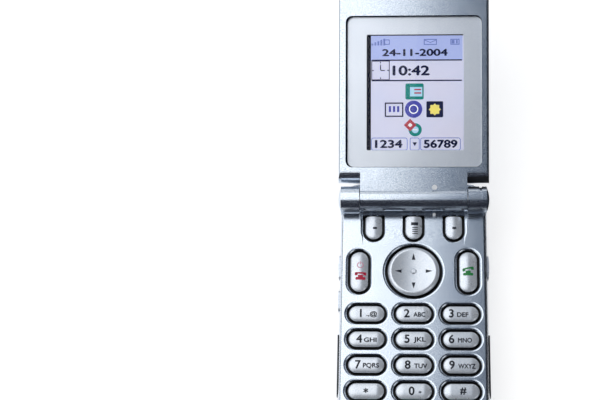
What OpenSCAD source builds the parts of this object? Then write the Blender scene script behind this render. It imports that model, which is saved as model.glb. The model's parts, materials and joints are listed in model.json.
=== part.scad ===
// Clamshell mobile phone, open at its stop and lying on its back.
// Millimetres. The origin is on the floor straight below the hinge axis, +X to the
// right of the keypad, +Y from the keypad towards the lid, +Z up out of the keypad.

/* [Keypad half] */
// Width across the sides at the parting line
base_w = 46.8; // [46.2:0.1:47.6]
// Length from the hinge axis to the tip of the microphone end
base_reach = 78.5; // [77:0.5:82]
// Length behind the hinge axis
base_tail = 8.5; // [8.3:0.1:9]
// Height of the keypad face above the floor
base_h = 14; // [13.8:0.1:14.4]
// Plan radius of the corners at the microphone end
chin_r = 12; // [10:0.5:13]
// Plan radius of the corners behind the hinge
tail_r = 6.5; // [6:0.1:7]

/* [Lid] */
// Width across the sides at the parting line
lid_w = 47.8; // [47.4:0.1:48.4]
// Length from the hinge axis to the tip of the lid
lid_reach = 78.5; // [77.5:0.5:82]
// Distance from the axis to where the lid's shoulders begin
shoulder_y = 5.5; // [5.4:0.1:5.8]
// Angle between the two halves at the open stop
open_angle = 160; // [150:1:165]
// Width of the display lens
lens_w = 42.8; // [42:0.1:43]
// Length of the display lens
lens_l = 48; // [47:0.1:48.4]

/* [Hinge] */
// Height of the hinge axis above the floor
hinge_z = 16.7; // [16.65:0.05:16.9]
// Radius of the lid's barrel
barrel_r = 3.5; // [3.4:0.05:3.6]
// Width of the lid's tongue, which carries the barrel
tongue_w = 33.8; // [33.4:0.1:34]
// Radius of the fixed knuckles
knuckle_r = 4.3; // [4.1:0.05:4.4]
// Width across the outsides of the knuckles
knuckle_span = 46; // [45.6:0.1:46.2]
// Radius of the hinge shafts
shaft_r = 1.5; // [1.3:0.05:1.6]

/* [Keys] */
// Length of a number key's cap
number_l = 11.1; // [10.5:0.1:11.2]
// Width of a number key's cap
number_w = 5.1; // [4.8:0.1:5.3]
// Distance between number key columns
column_pitch = 14.55; // [14.4:0.05:14.7]
// Distance between number key rows
row_pitch = 8.33; // [8.1:0.01:8.4]
// Distance from the hinge axis to the first row
first_row = 37.1; // [36.9:0.1:37.5]
// Distance from the hinge axis to the middle of the navigation key
nav_y = 23.05; // [22.8:0.05:23.3]
// Radius of the navigation key
nav_r = 8.15; // [8.1:0.05:8.25]
// Gap between a key and its opening
key_gap = 0.62; // [0.6:0.01:0.64]
// How far a key goes down when it is pressed
key_travel = 0.35; // [0.2:0.05:0.35]

/* [Hidden] */
$fn = 48;
far = 100;     // longer than any piece, for cutters that run out of the part
cut = 1;       // how far a cutter overshoots a face

// Section of the halves' edges
band = 5.5;            // width of the moulded edge, inside which the faces are flat
wall_bulge = 30;       // radius of the bulging side walls
seam_d = 0.2;          // depth of the groove along the parting lines
base_split = 7;        // height of the keypad half's parting line
base_top_r = 0.8;      // edge of the keypad face
base_under_r = 4.2;    // edges of the back
tail_h = 11.5;         // height of the part behind the hinge
tail_top_r = 1.6;
lid_face = 2.1;        // the lid's inner face, above the axis when the lid lies flat
lid_back = -6.4;       // its outer face
lid_split = -1.9;      // its parting line
lid_face_r = 0.7;
lid_back_r = 3.4;
lid_crown_r = 220;     // radius of the outer face, which is crowned from side to side

// Insides of the keypad half
face_t = 1.4;                    // thickness of the keypad face
under_face = base_h - face_t;
wall_t = 2;                      // side walls
cavity_w = base_w - 2 * wall_t;
mat_top = 10.9;
mat_t = 0.5;
dome_t = 0.25;
board_top = mat_top - mat_t - dome_t;
board_t = 0.9;
board_w = 40;
door_end = 21;                   // from the axis to the battery door's inner end
door_top = 2.2;                  // the door's upper edge
door_floor = 1.25;
bay_w = 36.4;
bay_top = 6.3;
bay_end = 71.5;

// Hinge and lid insides
knuckle_in = tongue_w / 2 + 0.25;
knuckle_out = knuckle_span / 2;
trough_r = barrel_r + 0.4;
lens_y = 34.4;                   // middle of the lens, from the axis
lens_t = 1;
lens_depth = 0.6;                // how far the lens lies below the lid's face
pocket_z = lid_face - lens_depth - lens_t;
lid_roof = pocket_z - 0.4;       // top of the lid's cavity
dish_y = 68;
dish_floor = lid_face - 0.7;
speaker_y = 67.5;
sub_y = 40;

// Keys
number_y = [for (row = [0:3]) -first_row - row * row_pitch];
flange_t = 0.65;
key_base = under_face - flange_t - 0.2;  // underside of the keys' flanges
key_top = base_h + 0.45;
plunger_z = mat_top + key_travel + 0.05;
crown_r = 6.5;                           // radius of the keys' crowned tops
key_edge_r = 0.7;                        // round edge of the caps
key_flange = 1.2;                     // how far the flanges reach beyond the caps
// Rolled edge of each opening, in three bevels: how far each reaches, and the depth of its foot
well_lip = [0.15, 0.55];
well_bevel = [0.45, 0.34];
well_roll = [0.85, 0.07];
soft_x = 12.6;
soft_w = 5.4;
soft_y = [-4.75, -12.25];                // flat end and round end of the soft keys
soft_flange = 1.1;
field_w = 31.9;                          // width of the floor of the sunk field round the soft keys
call_x = 17;
call_w = 5.7;
call_l = 13.4;
call_y = -23.2;
side_key_z = 9.6;
side_key_h = 2.5;

silver = [0.78, 0.82, 0.87];
dark_silver = [0.55, 0.6, 0.68];
rubber = [0.2, 0.21, 0.24];
steel = [0.6, 0.6, 0.62];

// ---------- Moulded forms ----------

// What is outside a round edge of radius r at height z: up = 1 at the top, -1 at the bottom
module edge_cut(z, r, up, split) {
  centre_z = z - up * r;
  centre_x = band - wall_bulge + sqrt(pow(wall_bulge - r, 2) - pow(centre_z - split, 2));
  lean = atan2(centre_z - split, centre_x - band + wall_bulge);
  translate([centre_x, centre_z]) difference() {
    polygon([[0, 0], 2 * r * [cos(lean), sin(lean)], 3 * r * [1, up], [0, 2 * r * up]]);
    circle(r);
  }
}

// Section of a bulging wall from z0 to z1, with round edges of radius r0 below and r1 above
module edge_section(z0, z1, split, r0 = 0, r1 = 0) {
  difference() {
    intersection() {
      translate([0, z0]) square([band + cut, z1 - z0]);
      translate([band - wall_bulge, split]) circle(wall_bulge, $fn = 256);
    }
    if (r0 > 0) edge_cut(z0, r0, -1, split);
    if (r1 > 0) edge_cut(z1, r1, 1, split);
    // Its half of the groove along the parting line
    polygon([[band - seam_d, split], [band + cut, split - seam_d - cut], [band + cut, split + seam_d + cut]]);
  }
}

module both_sides() {
  children();
  mirror([1, 0, 0]) children();
}

// The two straight edges, from y0 to y1
module straight_edges(w, y0, y1) {
  both_sides() translate([w / 2 - band, y1, 0]) rotate([90, 0, 0])
    linear_extrude(y1 - y0) children();
}

// Plan of a half with round corners at one end, inset all round, from y = start
module end_plan(w, start, tip, r, inset) {
  translate([-w / 2 + inset, start]) square([w - 2 * inset, tip - r - start]);
  translate([-w / 2 + r, tip - r]) square([w - 2 * r, r - inset]);
  for (side = [-1, 1]) translate([side * (w / 2 - r), tip - r]) intersection() {
    circle(r - inset);
    polygon([[0, 0], [side * r, 0], [side * r, r], [0, r]]);
  }
}

// A moulded shell that is cut square at y = start and has round corners at y = tip
module moulded_end(w, start, tip, r, z0, z1) {
  straight_edges(w, start, tip - r) children();
  both_sides() translate([w / 2 - r, tip - r, 0]) rotate_extrude(angle = 90) {
    translate([r - band, 0]) children();
    translate([0, z0]) square([r - band, z1 - z0]);
  }
  translate([-w / 2 + r, tip - band, 0]) rotate([90, 0, 90]) linear_extrude(w - 2 * r) children();
  translate([-w / 2 + band, start, z0]) cube([w - 2 * band, tip - r - start, z1 - z0]);
  translate([-w / 2 + r, tip - r, z0]) cube([w - 2 * r, r - band, z1 - z0]);
}

// A rectangle with round corners, centred
module round_rect(w, l, r) {
  square([w - 2 * r, l], center = true);
  difference() {
    square([w, l - 2 * r], center = true);
    square([w - 2 * r, l], center = true);
  }
  for (x = [-1, 1], y = [-1, 1]) intersection() {
    translate([x * (w / 2 - r), y * (l / 2 - r)]) circle(r);
    translate([x * (w / 2 - r), y * (l / 2 - r)])
      polygon([[0, 0], [x * r, 0], [x * r, y * r], [0, y * r]]);
  }
}

module round_plate(w, l, r, t) linear_extrude(t) round_rect(w, l, r);

// A section, drawn to the right of the axis, carried round an oblong: two sides and two round ends
module oblong(l, w) {
  run = l - w;
  for (turn = [0, 180]) rotate([0, 0, turn]) {
    translate([run / 2, 0, 0]) rotate([0, 0, -90]) rotate_extrude(angle = 180) children();
    translate([-run / 2, 0, 0]) rotate([90, 0, 90]) linear_extrude(run) children();
  }
}

// ---------- Keys ----------

// Half of a key cap's section: straight side, round edge and crowned top
module cap_half(half, z0, z1) {
  edge_x = half - key_edge_r;
  edge_z = sqrt(pow(crown_r - key_edge_r, 2) - pow(edge_x, 2)) - crown_r;
  lean = atan2(edge_z + crown_r, edge_x);
  difference() {
    intersection() {
      translate([0, z0]) square([half, z1 - z0 + cut]);
      translate([0, z1 - crown_r]) circle(crown_r, $fn = 128);
    }
    translate([edge_x, z1 + edge_z]) difference() {
      polygon([[0, 0], [2 * key_edge_r, 0], [2 * key_edge_r, 2 * key_edge_r],
               2 * key_edge_r * [cos(lean), sin(lean)]]);
      circle(key_edge_r);
    }
  }
}

// Half of a key well's section: the opening with its three bevels
module well_half(half) {
  hole = half + key_gap;
  polygon([[0, under_face - cut], [hole, under_face - cut], [hole, base_h - well_lip[1]],
           [hole + well_lip[0], base_h - well_bevel[1]], [hole + well_bevel[0], base_h - well_roll[1]],
           [hole + well_roll[0], base_h], [hole + well_roll[0], base_h + cut], [0, base_h + cut]]);
}

module number_cap() {
  oblong(number_l, number_w) {
    cap_half(number_w / 2, under_face - 0.2, key_top);
    translate([0, key_base]) square([number_w / 2 + key_flange, flange_t]);
  }
  translate([0, 0, plunger_z]) cylinder(r = 1, h = key_base - plunger_z);
}

module number_key(column, row) {
  color(dark_silver) translate([column * column_pitch, number_y[row], 0]) number_cap();
}

module number_well() oblong(number_l, number_w) well_half(number_w / 2);

module call_key(side) {
  color(dark_silver) translate([side * call_x, call_y, 0]) {
    rotate([0, 0, 90]) oblong(call_l, call_w) {
      cap_half(call_w / 2, under_face - 0.2, key_top);
      translate([0, key_base]) square([call_w / 2 + key_flange, flange_t]);
    }
    translate([0, 0, plunger_z]) cylinder(r = 1, h = key_base - plunger_z);
  }
}

module call_well() rotate([0, 0, 90]) oblong(call_l, call_w) well_half(call_w / 2);

// Soft key form: a straight run with a flat end towards the hinge and a round end
module soft_form(half) {
  run = soft_y[0] - soft_y[1] - soft_w / 2;
  translate([0, soft_y[1] + soft_w / 2, 0]) {
    rotate([0, 0, 180]) rotate_extrude(angle = 180) children();
    both_sides() translate([0, run, 0]) rotate([90, 0, 0]) linear_extrude(run) children();
  }
}

module soft_key(x) {
  color(dark_silver) translate([x, 0, 0]) {
    intersection() {
      soft_form() cap_half(soft_w / 2, under_face - 0.2, key_top);
      translate([0, (soft_y[0] + soft_y[1]) / 2 - far / 2 + (soft_y[0] - soft_y[1]) / 2, 0])
        round_plate(soft_w, far, 1, far);
    }
    soft_form() translate([0, key_base]) square([soft_w / 2 + soft_flange, flange_t]);
    translate([0, (soft_y[0] + soft_y[1]) / 2, plunger_z]) cylinder(r = 1, h = key_base - plunger_z);
  }
}

module soft_well(x) {
  hole = soft_w / 2 + key_gap;
  translate([x, 0, 0]) {
    soft_form() well_half(soft_w / 2);
    // The flat end, with the same bevel, which runs out to the corners
    intersection() {
      translate([-hole - well_roll[0], soft_y[0] - cut, 0]) rotate([90, 0, 90])
        linear_extrude(2 * (hole + well_roll[0])) well_half(cut);
      translate([0, soft_y[0] + cut, 0]) rotate([90, 0, 0]) linear_extrude(2 * cut)
        for (side = [0, 1]) mirror([side, 0]) well_half(soft_w / 2);
    }
  }
}

module nav_key() {
  rim_r = 1.2;
  dish_r = 6.95;
  dish_d = 0.7;
  nav_top = base_h + 0.5;
  skirt_z = 11.6;
  dish_ball = (pow(dish_r, 2) + pow(dish_d, 2)) / (2 * dish_d);
  color(dark_silver) translate([0, -nav_y, 0]) {
    // Cap with a round rim and a hollow ground into its top
    rotate_extrude() difference() {
      union() {
        translate([0, skirt_z]) square([nav_r - rim_r, nav_top - skirt_z]);
        translate([nav_r - rim_r, skirt_z]) square([rim_r, nav_top - rim_r - skirt_z]);
        intersection() {
          translate([nav_r - rim_r, nav_top - rim_r]) circle(rim_r);
          translate([nav_r - rim_r, nav_top - rim_r]) square(rim_r);
        }
      }
      translate([0, nav_top - dish_d + dish_ball]) circle(dish_ball, $fn = 512);
    }
    // Flange under the face, and the middle button
    translate([0, 0, skirt_z]) cylinder(r = nav_r + key_flange, h = 0.4);
    translate([0, 0, nav_top - dish_d - 0.1]) cylinder(r1 = 1.1, r2 = 0.6, h = 0.5);
  }
}

module nav_well() translate([0, -nav_y, 0]) rotate_extrude() well_half(nav_r + 0.1);

// Rubber disc that the navigation key rocks on, with a stub at each end of its two axes
module nav_actuator() {
  disc_r = 2.6;
  disc_t = 0.4;
  stub_l = 0.8;
  color(rubber) translate([0, -nav_y, mat_top + 0.15]) {
    cylinder(r = disc_r, h = disc_t);
    for (turn = [0, 90]) rotate([0, 0, turn]) translate([-disc_r - stub_l, 0, disc_t / 2])
      rotate([0, 90, 0]) cylinder(r = 0.15, h = 2 * (disc_r + stub_l));
  }
}

// A side key: a rounded bar through the wall with a flange behind it; side = 1 on the right
module side_key(side, y0, y1) {
  mid = (y0 + y1) / 2;
  len = y1 - y0;
  proud = base_w / 2 + 0.35;
  color(dark_silver) translate([0, mid, side_key_z]) {
    intersection() {
      rotate([0, side * 90, 0]) translate([0, 0, cavity_w / 2 - 0.5])
        round_plate(side_key_h, len, 1.2, proud - cavity_w / 2 + 0.5);
      // Bowed front, highest in the middle
      translate([side * (proud - 30), 0, -5]) cylinder(r = 30, h = 10);
    }
    rotate([0, side * 90, 0]) translate([0, 0, cavity_w / 2 - 0.6])
      round_plate(side_key_h + 0.9, len + 1, 1.6, 0.5);
  }
}

module side_key_slot(side, y0, y1) {
  translate([0, (y0 + y1) / 2, side_key_z]) rotate([0, side * 90, 0]) translate([0, 0, 15])
    round_plate(side_key_h + 0.3, y1 - y0 + 0.3, 1.35, 15);
}

upper_side_key = [-24.6, -16.4];
lower_side_key = [-35.2, -28.2];

// ---------- Keypad half ----------

module base_outline(z0, z1) {
  mirror([0, 1, 0]) moulded_end(base_w, 0, base_reach, chin_r, z0, z1) children();
}

module base_cavity(z0, z1, inset) {
  translate([0, 0, z0]) mirror([0, 1, 0]) linear_extrude(z1 - z0)
    end_plan(base_w, 3.9, base_reach, chin_r, inset);
}

// Everything that stands on the keypad face behind the keys: knuckles round the axis
module knuckle(side) {
  translate([side > 0 ? knuckle_in : -knuckle_out, 0, hinge_z]) rotate([90, 0, 90]) {
    cylinder(r = knuckle_r, h = knuckle_out - knuckle_in);
    linear_extrude(knuckle_out - knuckle_in)
      polygon([[-3.3, -2.6], [-3.3, -6], [3.4, -6], [3.9, -1.4], [0, 0]]);
  }
}

// Groove round the right knuckle where it stands above the face
module knuckle_groove() intersection() {
  difference() {
    along_x(20.7, 21.5, knuckle_r + cut);
    along_x(20, 22, knuckle_r - 0.35);
  }
  translate([20, -far / 2, base_h]) cube([2, far, far]);
}

module along_x(x0, x1, r) translate([x0, 0, hinge_z]) rotate([0, 90, 0]) cylinder(r = r, h = x1 - x0);

// Points of a rectangle with round corners of five short sides each
function soft_rect(w, l, r) = [
  for (quarter = [0:3], step = [0:5])
    let (angle = 90 * quarter + 18 * step,
         x = (quarter == 0 || quarter == 3 ? 1 : -1) * (w / 2 - r),
         y = (quarter < 2 ? 1 : -1) * (l / 2 - r))
    [x + r * cos(angle), y + r * sin(angle)]
];

module grip_outline(grow) {
  translate([0, -52.05, 7]) rotate([0, 90, 0]) linear_extrude(far)
    polygon(soft_rect(7 + 2 * grow, 19.7 + 2 * grow, 2.4 + grow));
}

module grip_recess() both_sides() translate([base_w / 2 - 0.8, 0, 0]) grip_outline(0);

module base_front_housing() {
  color(silver) difference() {
    union() {
      base_outline(base_split, base_h)
        edge_section(base_split, base_h, base_split, r1 = base_top_r);
      moulded_end(base_w, 0, base_tail, tail_r, base_split, tail_h)
        edge_section(base_split, tail_h, base_split, r1 = tail_top_r);
      knuckle(1);
      knuckle(-1);
    }
    along_x(-knuckle_in, knuckle_in, trough_r);
    base_cavity(base_split - cut, under_face, wall_t);
    for (column = [-1:1], row = [0:3])
      translate([column * column_pitch, number_y[row], 0]) number_well();
    for (side = [-1, 1]) translate([side * call_x, call_y, 0]) call_well();
    for (x = [-soft_x, 0, soft_x]) soft_well(x);
    knuckle_groove();
    nav_well();
    // Sunk field round the soft keys, fading out towards the navigation key
    translate([0, -14.5, base_h]) rotate([92, 0, 180]) linear_extrude(20)
      polygon([[-field_w / 2, 0], [field_w / 2, 0], [field_w / 2 + 6, 2], [-field_w / 2 - 6, 2]]);
    side_key_slot(-1, upper_side_key[0], upper_side_key[1]);
    side_key_slot(-1, lower_side_key[0], lower_side_key[1]);
    side_key_slot(1, upper_side_key[0], upper_side_key[1]);
    grip_recess();
    // Seats of the shafts, the end caps and the cam shaft's square head
    along_x(knuckle_in - cut, knuckle_out + cut, shaft_r);
    both_sides() along_x(knuckle_out - 1, knuckle_out + cut, 3.3);
    translate([-knuckle_out - cut, -2, hinge_z - 2]) cube([knuckle_out - knuckle_in + 2 * cut, 4, 4]);
    // Seat of the bumper, microphone opening and accessory port
    translate([6.5, -3.9, base_h - 0.9]) cylinder(r = 0.5, h = far);
    translate([0, -70.5, 0]) cylinder(r = 0.6, h = far);
    translate([-9, -base_reach - cut, 5]) cube([18, 6, 3.2]);
    both_sides() translate([18.4, 3.4, 0]) cylinder(r = 0.8, h = 10);
  }
}

lug_l = 5;
lug_y = [-26, -43, -60];
door_travel = 8;

// Hooked lug of the battery door, in section: a web with a lip outwards
module lug_section(gap) {
  polygon([[18.9 - gap, door_top - cut], [18.9 - gap, 3.3 + gap], [20.4 + gap, 3.3 + gap],
           [20.4 + gap, 2.75 - gap], [19.7 + gap, 2.75 - gap], [19.7 + gap, door_top - cut]]);
}

// Channel that a lug slides along, with the wide mouth through which it lifts out
module lug_channel(y) {
  gap = 0.12;
  translate([0, y + gap, 0]) rotate([90, 0, 0])
    linear_extrude(lug_l + door_travel + 2 * gap) lug_section(gap);
  translate([18.9 - gap, y - door_travel - lug_l - gap, door_top - cut])
    cube([1.5 + 2 * gap, lug_l + 2 * gap, 1.1 + cut + gap]);
}

module base_rear_housing() {
  color(silver) difference() {
    union() {
      base_outline(0, base_split) edge_section(0, base_split, base_split, r0 = base_under_r);
      moulded_end(base_w, 0, base_tail, tail_r, 0, base_split)
        edge_section(0, base_split, base_split, r0 = base_under_r);
    }
    // Room for the door, the battery and the works behind the hinge
    translate([-far / 2, -far - door_end, -cut]) cube([far, far, door_top + cut]);
    translate([-bay_w / 2, -bay_end, 0]) cube([bay_w, bay_end - door_end - 1, bay_top]);
    translate([-19, -19.5, 1.2]) cube([38, 17, base_split]);
    both_sides() for (y = lug_y) lug_channel(y);
    grip_recess();
    translate([-9, -base_reach - cut, 5]) cube([18, 6, 3.2]);
    for (x = [-11, 11]) translate([x - 2.2, -door_end - cut, 0.5]) cube([4.4, 1.5 + cut, 0.8]);
    both_sides() translate([18.4, 3.4, -cut]) {
      cylinder(r = 0.8, h = 9);
      cylinder(r = 1.7, h = 3.6 + cut);
    }
  }
}

module battery_door() {
  color(silver) {
    difference() {
      intersection() {
        base_outline(0, base_split) edge_section(0, base_split, base_split, r0 = base_under_r);
        translate([-far / 2, -far - door_end - 0.12, -cut]) cube([far, far, door_top - 0.1 + cut]);
      }
      translate([-bay_w / 2, -bay_end, door_floor]) cube([bay_w, bay_end, far]);
      // Thumb grooves
      for (i = [0:4]) translate([-9, -door_end - 5 - 1.7 * i, -0.25]) rotate([0, 90, 0])
        cylinder(r = 0.6, h = 18);
    }
    both_sides() for (y = lug_y) intersection() {
      translate([0, y, 0]) rotate([90, 0, 0]) linear_extrude(lug_l) lug_section(0);
      translate([0, -far, door_top - 0.1]) cube([far, far, far]);
    }
    for (x = [-11, 11]) translate([x - 2, -door_end - 0.12, 0.65]) cube([4, 1.4, 0.5]);
  }
}

module battery() {
  color([0.25, 0.25, 0.28]) translate([0, -(bay_end + door_end + 1) / 2 , door_floor + 0.1])
    round_plate(35.6, bay_end - door_end - 3, 1.6, bay_top - door_floor - 0.3);
}

module battery_contacts() {
  color("gold") for (i = [-1:1])
    translate([i * 3.4 - 0.7, -door_end - 1.6, 3.4]) cube([1.4, 0.6, 2.2]);
}

module main_board() {
  color("darkgreen") difference() {
    translate([0, 0, board_top - board_t]) mirror([0, 1, 0]) linear_extrude(board_t)
      end_plan(base_w, 7, base_reach, chin_r, (base_w - board_w) / 2);
    translate([-9.5, -base_reach, 0]) cube([19, 6.3, far]);
  }
}

module shield_cans() {
  color(steel) for (can = [[-9.5, -34, 15, 22], [9.5, -31, 16, 16], [-8, -56, 18, 14]])
    translate([can[0], can[1], base_split + 0.15])
      round_plate(can[2], can[3], 0.6, board_top - board_t - base_split - 0.15);
}

module keypad_mat() {
  color([0.85, 0.85, 0.88]) translate([0, 0, mat_top - mat_t]) mirror([0, 1, 0]) linear_extrude(mat_t)
    end_plan(base_w, 6.6, base_reach - 7.6, chin_r, 3.4);
}

module key_domes() {
  dome_r = 2.2;
  places = [for (column = [-1:1], row = [0:3]) [column * column_pitch, number_y[row]]];
  color(steel) {
    for (p = places) translate([p[0], p[1], board_top]) cylinder(r = dome_r, h = dome_t);
    for (side = [-1, 1]) translate([side * call_x, call_y, board_top]) cylinder(r = dome_r, h = dome_t);
    for (x = [-soft_x, 0, soft_x]) translate([x, -9.4, board_top]) cylinder(r = dome_r, h = dome_t);
    for (turn = [0:90:270]) translate([0, -nav_y, 0]) rotate([0, 0, turn])
      translate([5.6, 0, board_top]) cylinder(r = 1.8, h = dome_t);
  }
}

module microphone() {
  color(steel) translate([0, -70.5, board_top + 0.05]) cylinder(r = 2, h = under_face - board_top - 0.15);
}

module vibration_motor() {
  color(steel) translate([-17, -14, 4.2]) {
    rotate([0, 90, 0]) cylinder(r = 2.2, h = 10);
    translate([10, 0, 0]) rotate([0, 90, 0]) cylinder(r = 0.5, h = 1.6);
    translate([11.6, 0, 0]) rotate([90, 0, 90]) linear_extrude(3) intersection() {
      circle(2.4);
      translate([-3, -3]) square([6, 3]);
    }
  }
}

module bottom_connector() {
  color(rubber) difference() {
    translate([-8.8, -base_reach + 0.8, 5.1]) cube([17.6, 4, 3]);
    translate([-7.6, -base_reach - cut, 5.9]) cube([15.2, 3.4, 1.4]);
  }
}

module antenna() {
  color("goldenrod") difference() {
    translate([4, -18.5, 1.5]) cube([14, 15, 4.6]);
    translate([5, -17.5, 1]) cube([12, 13, 4]);
  }
}

// Switch plates of the side keys, set a little behind the keys' middles, clear of the call keys' domes
module side_switches() {
  color(steel) for (key = [[-1, upper_side_key], [-1, lower_side_key], [1, upper_side_key]])
    translate([key[0] * 19.2 - 0.9, (key[1][0] + key[1][1]) / 2 - 0.1, board_top + 0.02])
      cube([1.8, 2, 0.2]);
}

module side_grip(side) {
  color(rubber) mirror([side > 0 ? 0 : 1, 0, 0]) difference() {
    intersection() {
      translate([base_w / 2 - 0.8, 0, 0]) grip_outline(-0.05);
      translate([base_w / 2 + 0.35 - wall_bulge, 0, base_split]) rotate([90, 0, 0])
        cylinder(r = wall_bulge, h = far, $fn = 256);
    }
    for (i = [-3:3]) translate([base_w / 2 + 0.45, -52.05 + 2.4 * i, 0]) cylinder(r = 0.3, h = far);
  }
}

module base_bumper() {
  color(rubber) translate([6.5, -3.9, base_h - 0.9]) cylinder(r = 0.5, h = 1.15);
}

module base_screws() {
  color(steel) both_sides() translate([18.4, 3.4, 2.4]) difference() {
    union() {
      cylinder(r = 1.5, h = 1.2);
      cylinder(r = 0.75, h = 7);
    }
    for (turn = [0, 90]) rotate([0, 0, turn]) translate([-0.9, -0.2, -cut]) cube([1.8, 0.4, cut + 0.6]);
  }
}

// ---------- Hinge ----------

module hinge_pin_right() {
  color(steel) {
    along_x(11, knuckle_out - 1, shaft_r);
    along_x(knuckle_out - 1, knuckle_out - 0.5, 2.4);
  }
}

module hinge_cap(side) {
  sag = 0.9;
  foot = 4.1;
  ball = (pow(foot, 2) + pow(sag, 2)) / (2 * sag);
  color(silver) translate([side * knuckle_out, 0, hinge_z]) rotate([0, side * 90, 0]) {
    rotate_extrude($fn = 256) intersection() {
      translate([0, sag - ball]) circle(ball);
      square([foot + cut, sag + cut]);
    }
    translate([0, 0, -0.45]) cylinder(r = 3.25, h = 0.45);
  }
}

module hinge_cam_shaft() {
  color(steel) {
    translate([-knuckle_out + 0.6, -1.95, hinge_z - 1.95]) cube([knuckle_out - knuckle_in - 0.6, 3.9, 3.9]);
    along_x(-knuckle_in, -11, shaft_r);
  }
}

// ---------- Lid: modelled flat, with the hinge axis at the origin ----------

module lid_frame() translate([0, 0, hinge_z]) rotate([180 - open_angle, 0, 0]) children();

module lid_tongue() {
  translate([-tongue_w / 2, 0, 0]) rotate([90, 0, 90]) {
    cylinder(r = barrel_r, h = tongue_w);
    linear_extrude(tongue_w)
      polygon([[1, lid_face], [12, lid_face], [12, lid_split], [5.5, lid_split], [4.4, -2.6], [1.4, -3.1]]);
  }
}

// What rounds off an end face at y with radius r, from x = start on: up = 1 at its top, -1 at its bottom
module end_round(y, z, r, up, start) {
  arc = [for (turn = [0:6:90]) r * [-cos(turn), up * sin(turn)]];
  outside = r + cut;
  translate([start, y + r, z - up * r]) rotate([90, 0, 90]) linear_extrude(far)
    polygon(concat(arc, [[0, up * outside], [-outside, up * outside], [-outside, 0]]));
}

module lid_crown(z) {
  translate([0, -far / 2, z + lid_crown_r]) rotate([-90, 0, 0])
    cylinder(r = lid_crown_r, h = 2 * far, $fn = 256);
}

module lid_front_housing() {
  shoulder_r = 3.4;
  color(silver) lid_frame() difference() {
    union() {
      moulded_end(lid_w, shoulder_y, lid_reach, chin_r, lid_split, lid_face)
        edge_section(lid_split, lid_face, lid_split, r1 = lid_face_r);
      lid_tongue();
    }
    both_sides() end_round(shoulder_y, lid_face, shoulder_r, 1, tongue_w / 2);
    // Pocket and window of the display
    translate([0, lens_y, pocket_z]) round_plate(lens_w + 0.3, lens_l + 0.3, 2.1, far);
    translate([0, lens_y - 0.6, -far / 2]) round_plate(33.5, 39.5, 1, far);
    // Inside
    translate([0, 0, lid_split - cut]) linear_extrude(lid_roof - lid_split + cut) {
      translate([-20.8, 11.5]) square([41.6, 48.5]);
      translate([-14, 59]) square([28, 15]);
    }
    // Earpiece recess, with the seat of its grille
    translate([0, dish_y, dish_floor]) round_plate(38.4, 12, 4.2, far);
    translate([0, speaker_y, dish_floor - 0.5]) round_plate(24.3, 5.3, 2.2, far);
    translate([0, speaker_y, -cut]) round_plate(21, 3, 1.4, far);
    // Bores of the hinge parts and the flex cable's way
    translate([tongue_w / 2 + cut, 0, 0]) rotate([0, -90, 0]) cylinder(r = shaft_r + 0.05, h = 7 + cut);
    translate([-tongue_w / 2 - cut, 0, 0]) rotate([0, 90, 0]) cylinder(r = 2.7, h = 13.4 + cut);
    for (x = [-19.6, 19.6], y = [12.6, 56.2]) translate([x, y, -far / 2]) cylinder(r = 0.7, h = far);
    translate([6.6, 3.9, lid_face - 0.6]) cylinder(r = 0.8, h = far);
  }
}

module lid_rear_housing() {
  lip_r = 1.6;
  color(silver) lid_frame() difference() {
    intersection() {
      moulded_end(lid_w, shoulder_y, lid_reach, chin_r, lid_back, lid_split)
        edge_section(lid_back, lid_split, lid_split, r0 = lid_back_r);
      lid_crown(lid_back);
    }
    end_round(shoulder_y, lid_back, lip_r, -1, -far / 2);
    translate([0, 0, -3.3]) linear_extrude(far) {
      translate([-20.4, 11.5]) square([40.8, 48.5]);
      translate([-12, 59]) square([24, 14.5]);
    }
    translate([-14, 20, -4.9]) cube([28, 39, far]);
    translate([0, sub_y, lid_back - cut]) round_plate(24.3, 12.3, 3.2, 1 + cut + 0.4);
    translate([0, sub_y, lid_back - cut]) round_plate(20, 9, 1, far);
    for (x = [-19.6, 19.6], y = [12.6, 56.2]) translate([x, y, -3.6]) cylinder(r = 0.7, h = far);
  }
}

module main_lens() {
  color([0.7, 0.75, 0.82, 0.6]) lid_frame() translate([0, lens_y, pocket_z])
    round_plate(lens_w, lens_l, 1.95, lens_t);
}

module main_lcd() {
  color([0.5, 0.55, 0.7]) lid_frame() {
    translate([0, lens_y - 0.25, lid_roof - 2]) round_plate(37, 42.5, 0.8, 1.9);
    translate([0, lens_y - 0.6, lid_roof - 0.2]) round_plate(33, 39, 0.6, 0.5);
  }
}

module lid_board() {
  color("darkgreen") lid_frame() translate([0, 36, -2.9]) round_plate(36, 45, 1, 0.7);
}

module earpiece_speaker() {
  color(steel) lid_frame() translate([0, speaker_y, -3.1]) cylinder(r = 5.6, h = 3.2);
}

module earpiece_grille() {
  color(dark_silver) lid_frame() translate([0, speaker_y, dish_floor - 0.45]) difference() {
    round_plate(24, 5, 2.05, 0.4);
    for (i = [-4:4]) translate([2.3 * i, 0, -cut]) round_plate(1, 2.8, 0.45, 3);
  }
}

module sub_display_lens() {
  color([0.2, 0.22, 0.26]) lid_frame() intersection() {
    translate([0, sub_y, lid_back - cut]) round_plate(24, 12, 3.05, 1.35 + cut);
    lid_crown(lid_back + 0.08);
  }
}

module sub_lcd() {
  color([0.45, 0.5, 0.5]) lid_frame() translate([0, sub_y, -4.8]) round_plate(24, 14, 0.6, 1.8);
}

module lid_bumpers() {
  color(rubber) lid_frame() translate([6.6, 3.9, lid_face - 0.6]) cylinder(r = 0.8, h = 0.85);
}

module lid_screws() {
  color(steel) lid_frame() for (x = [-19.6, 19.6], y = [12.6, 56.2])
    translate([x, y, -3.5]) cylinder(r = 0.65, h = pocket_z + 3.5);
}

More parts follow.
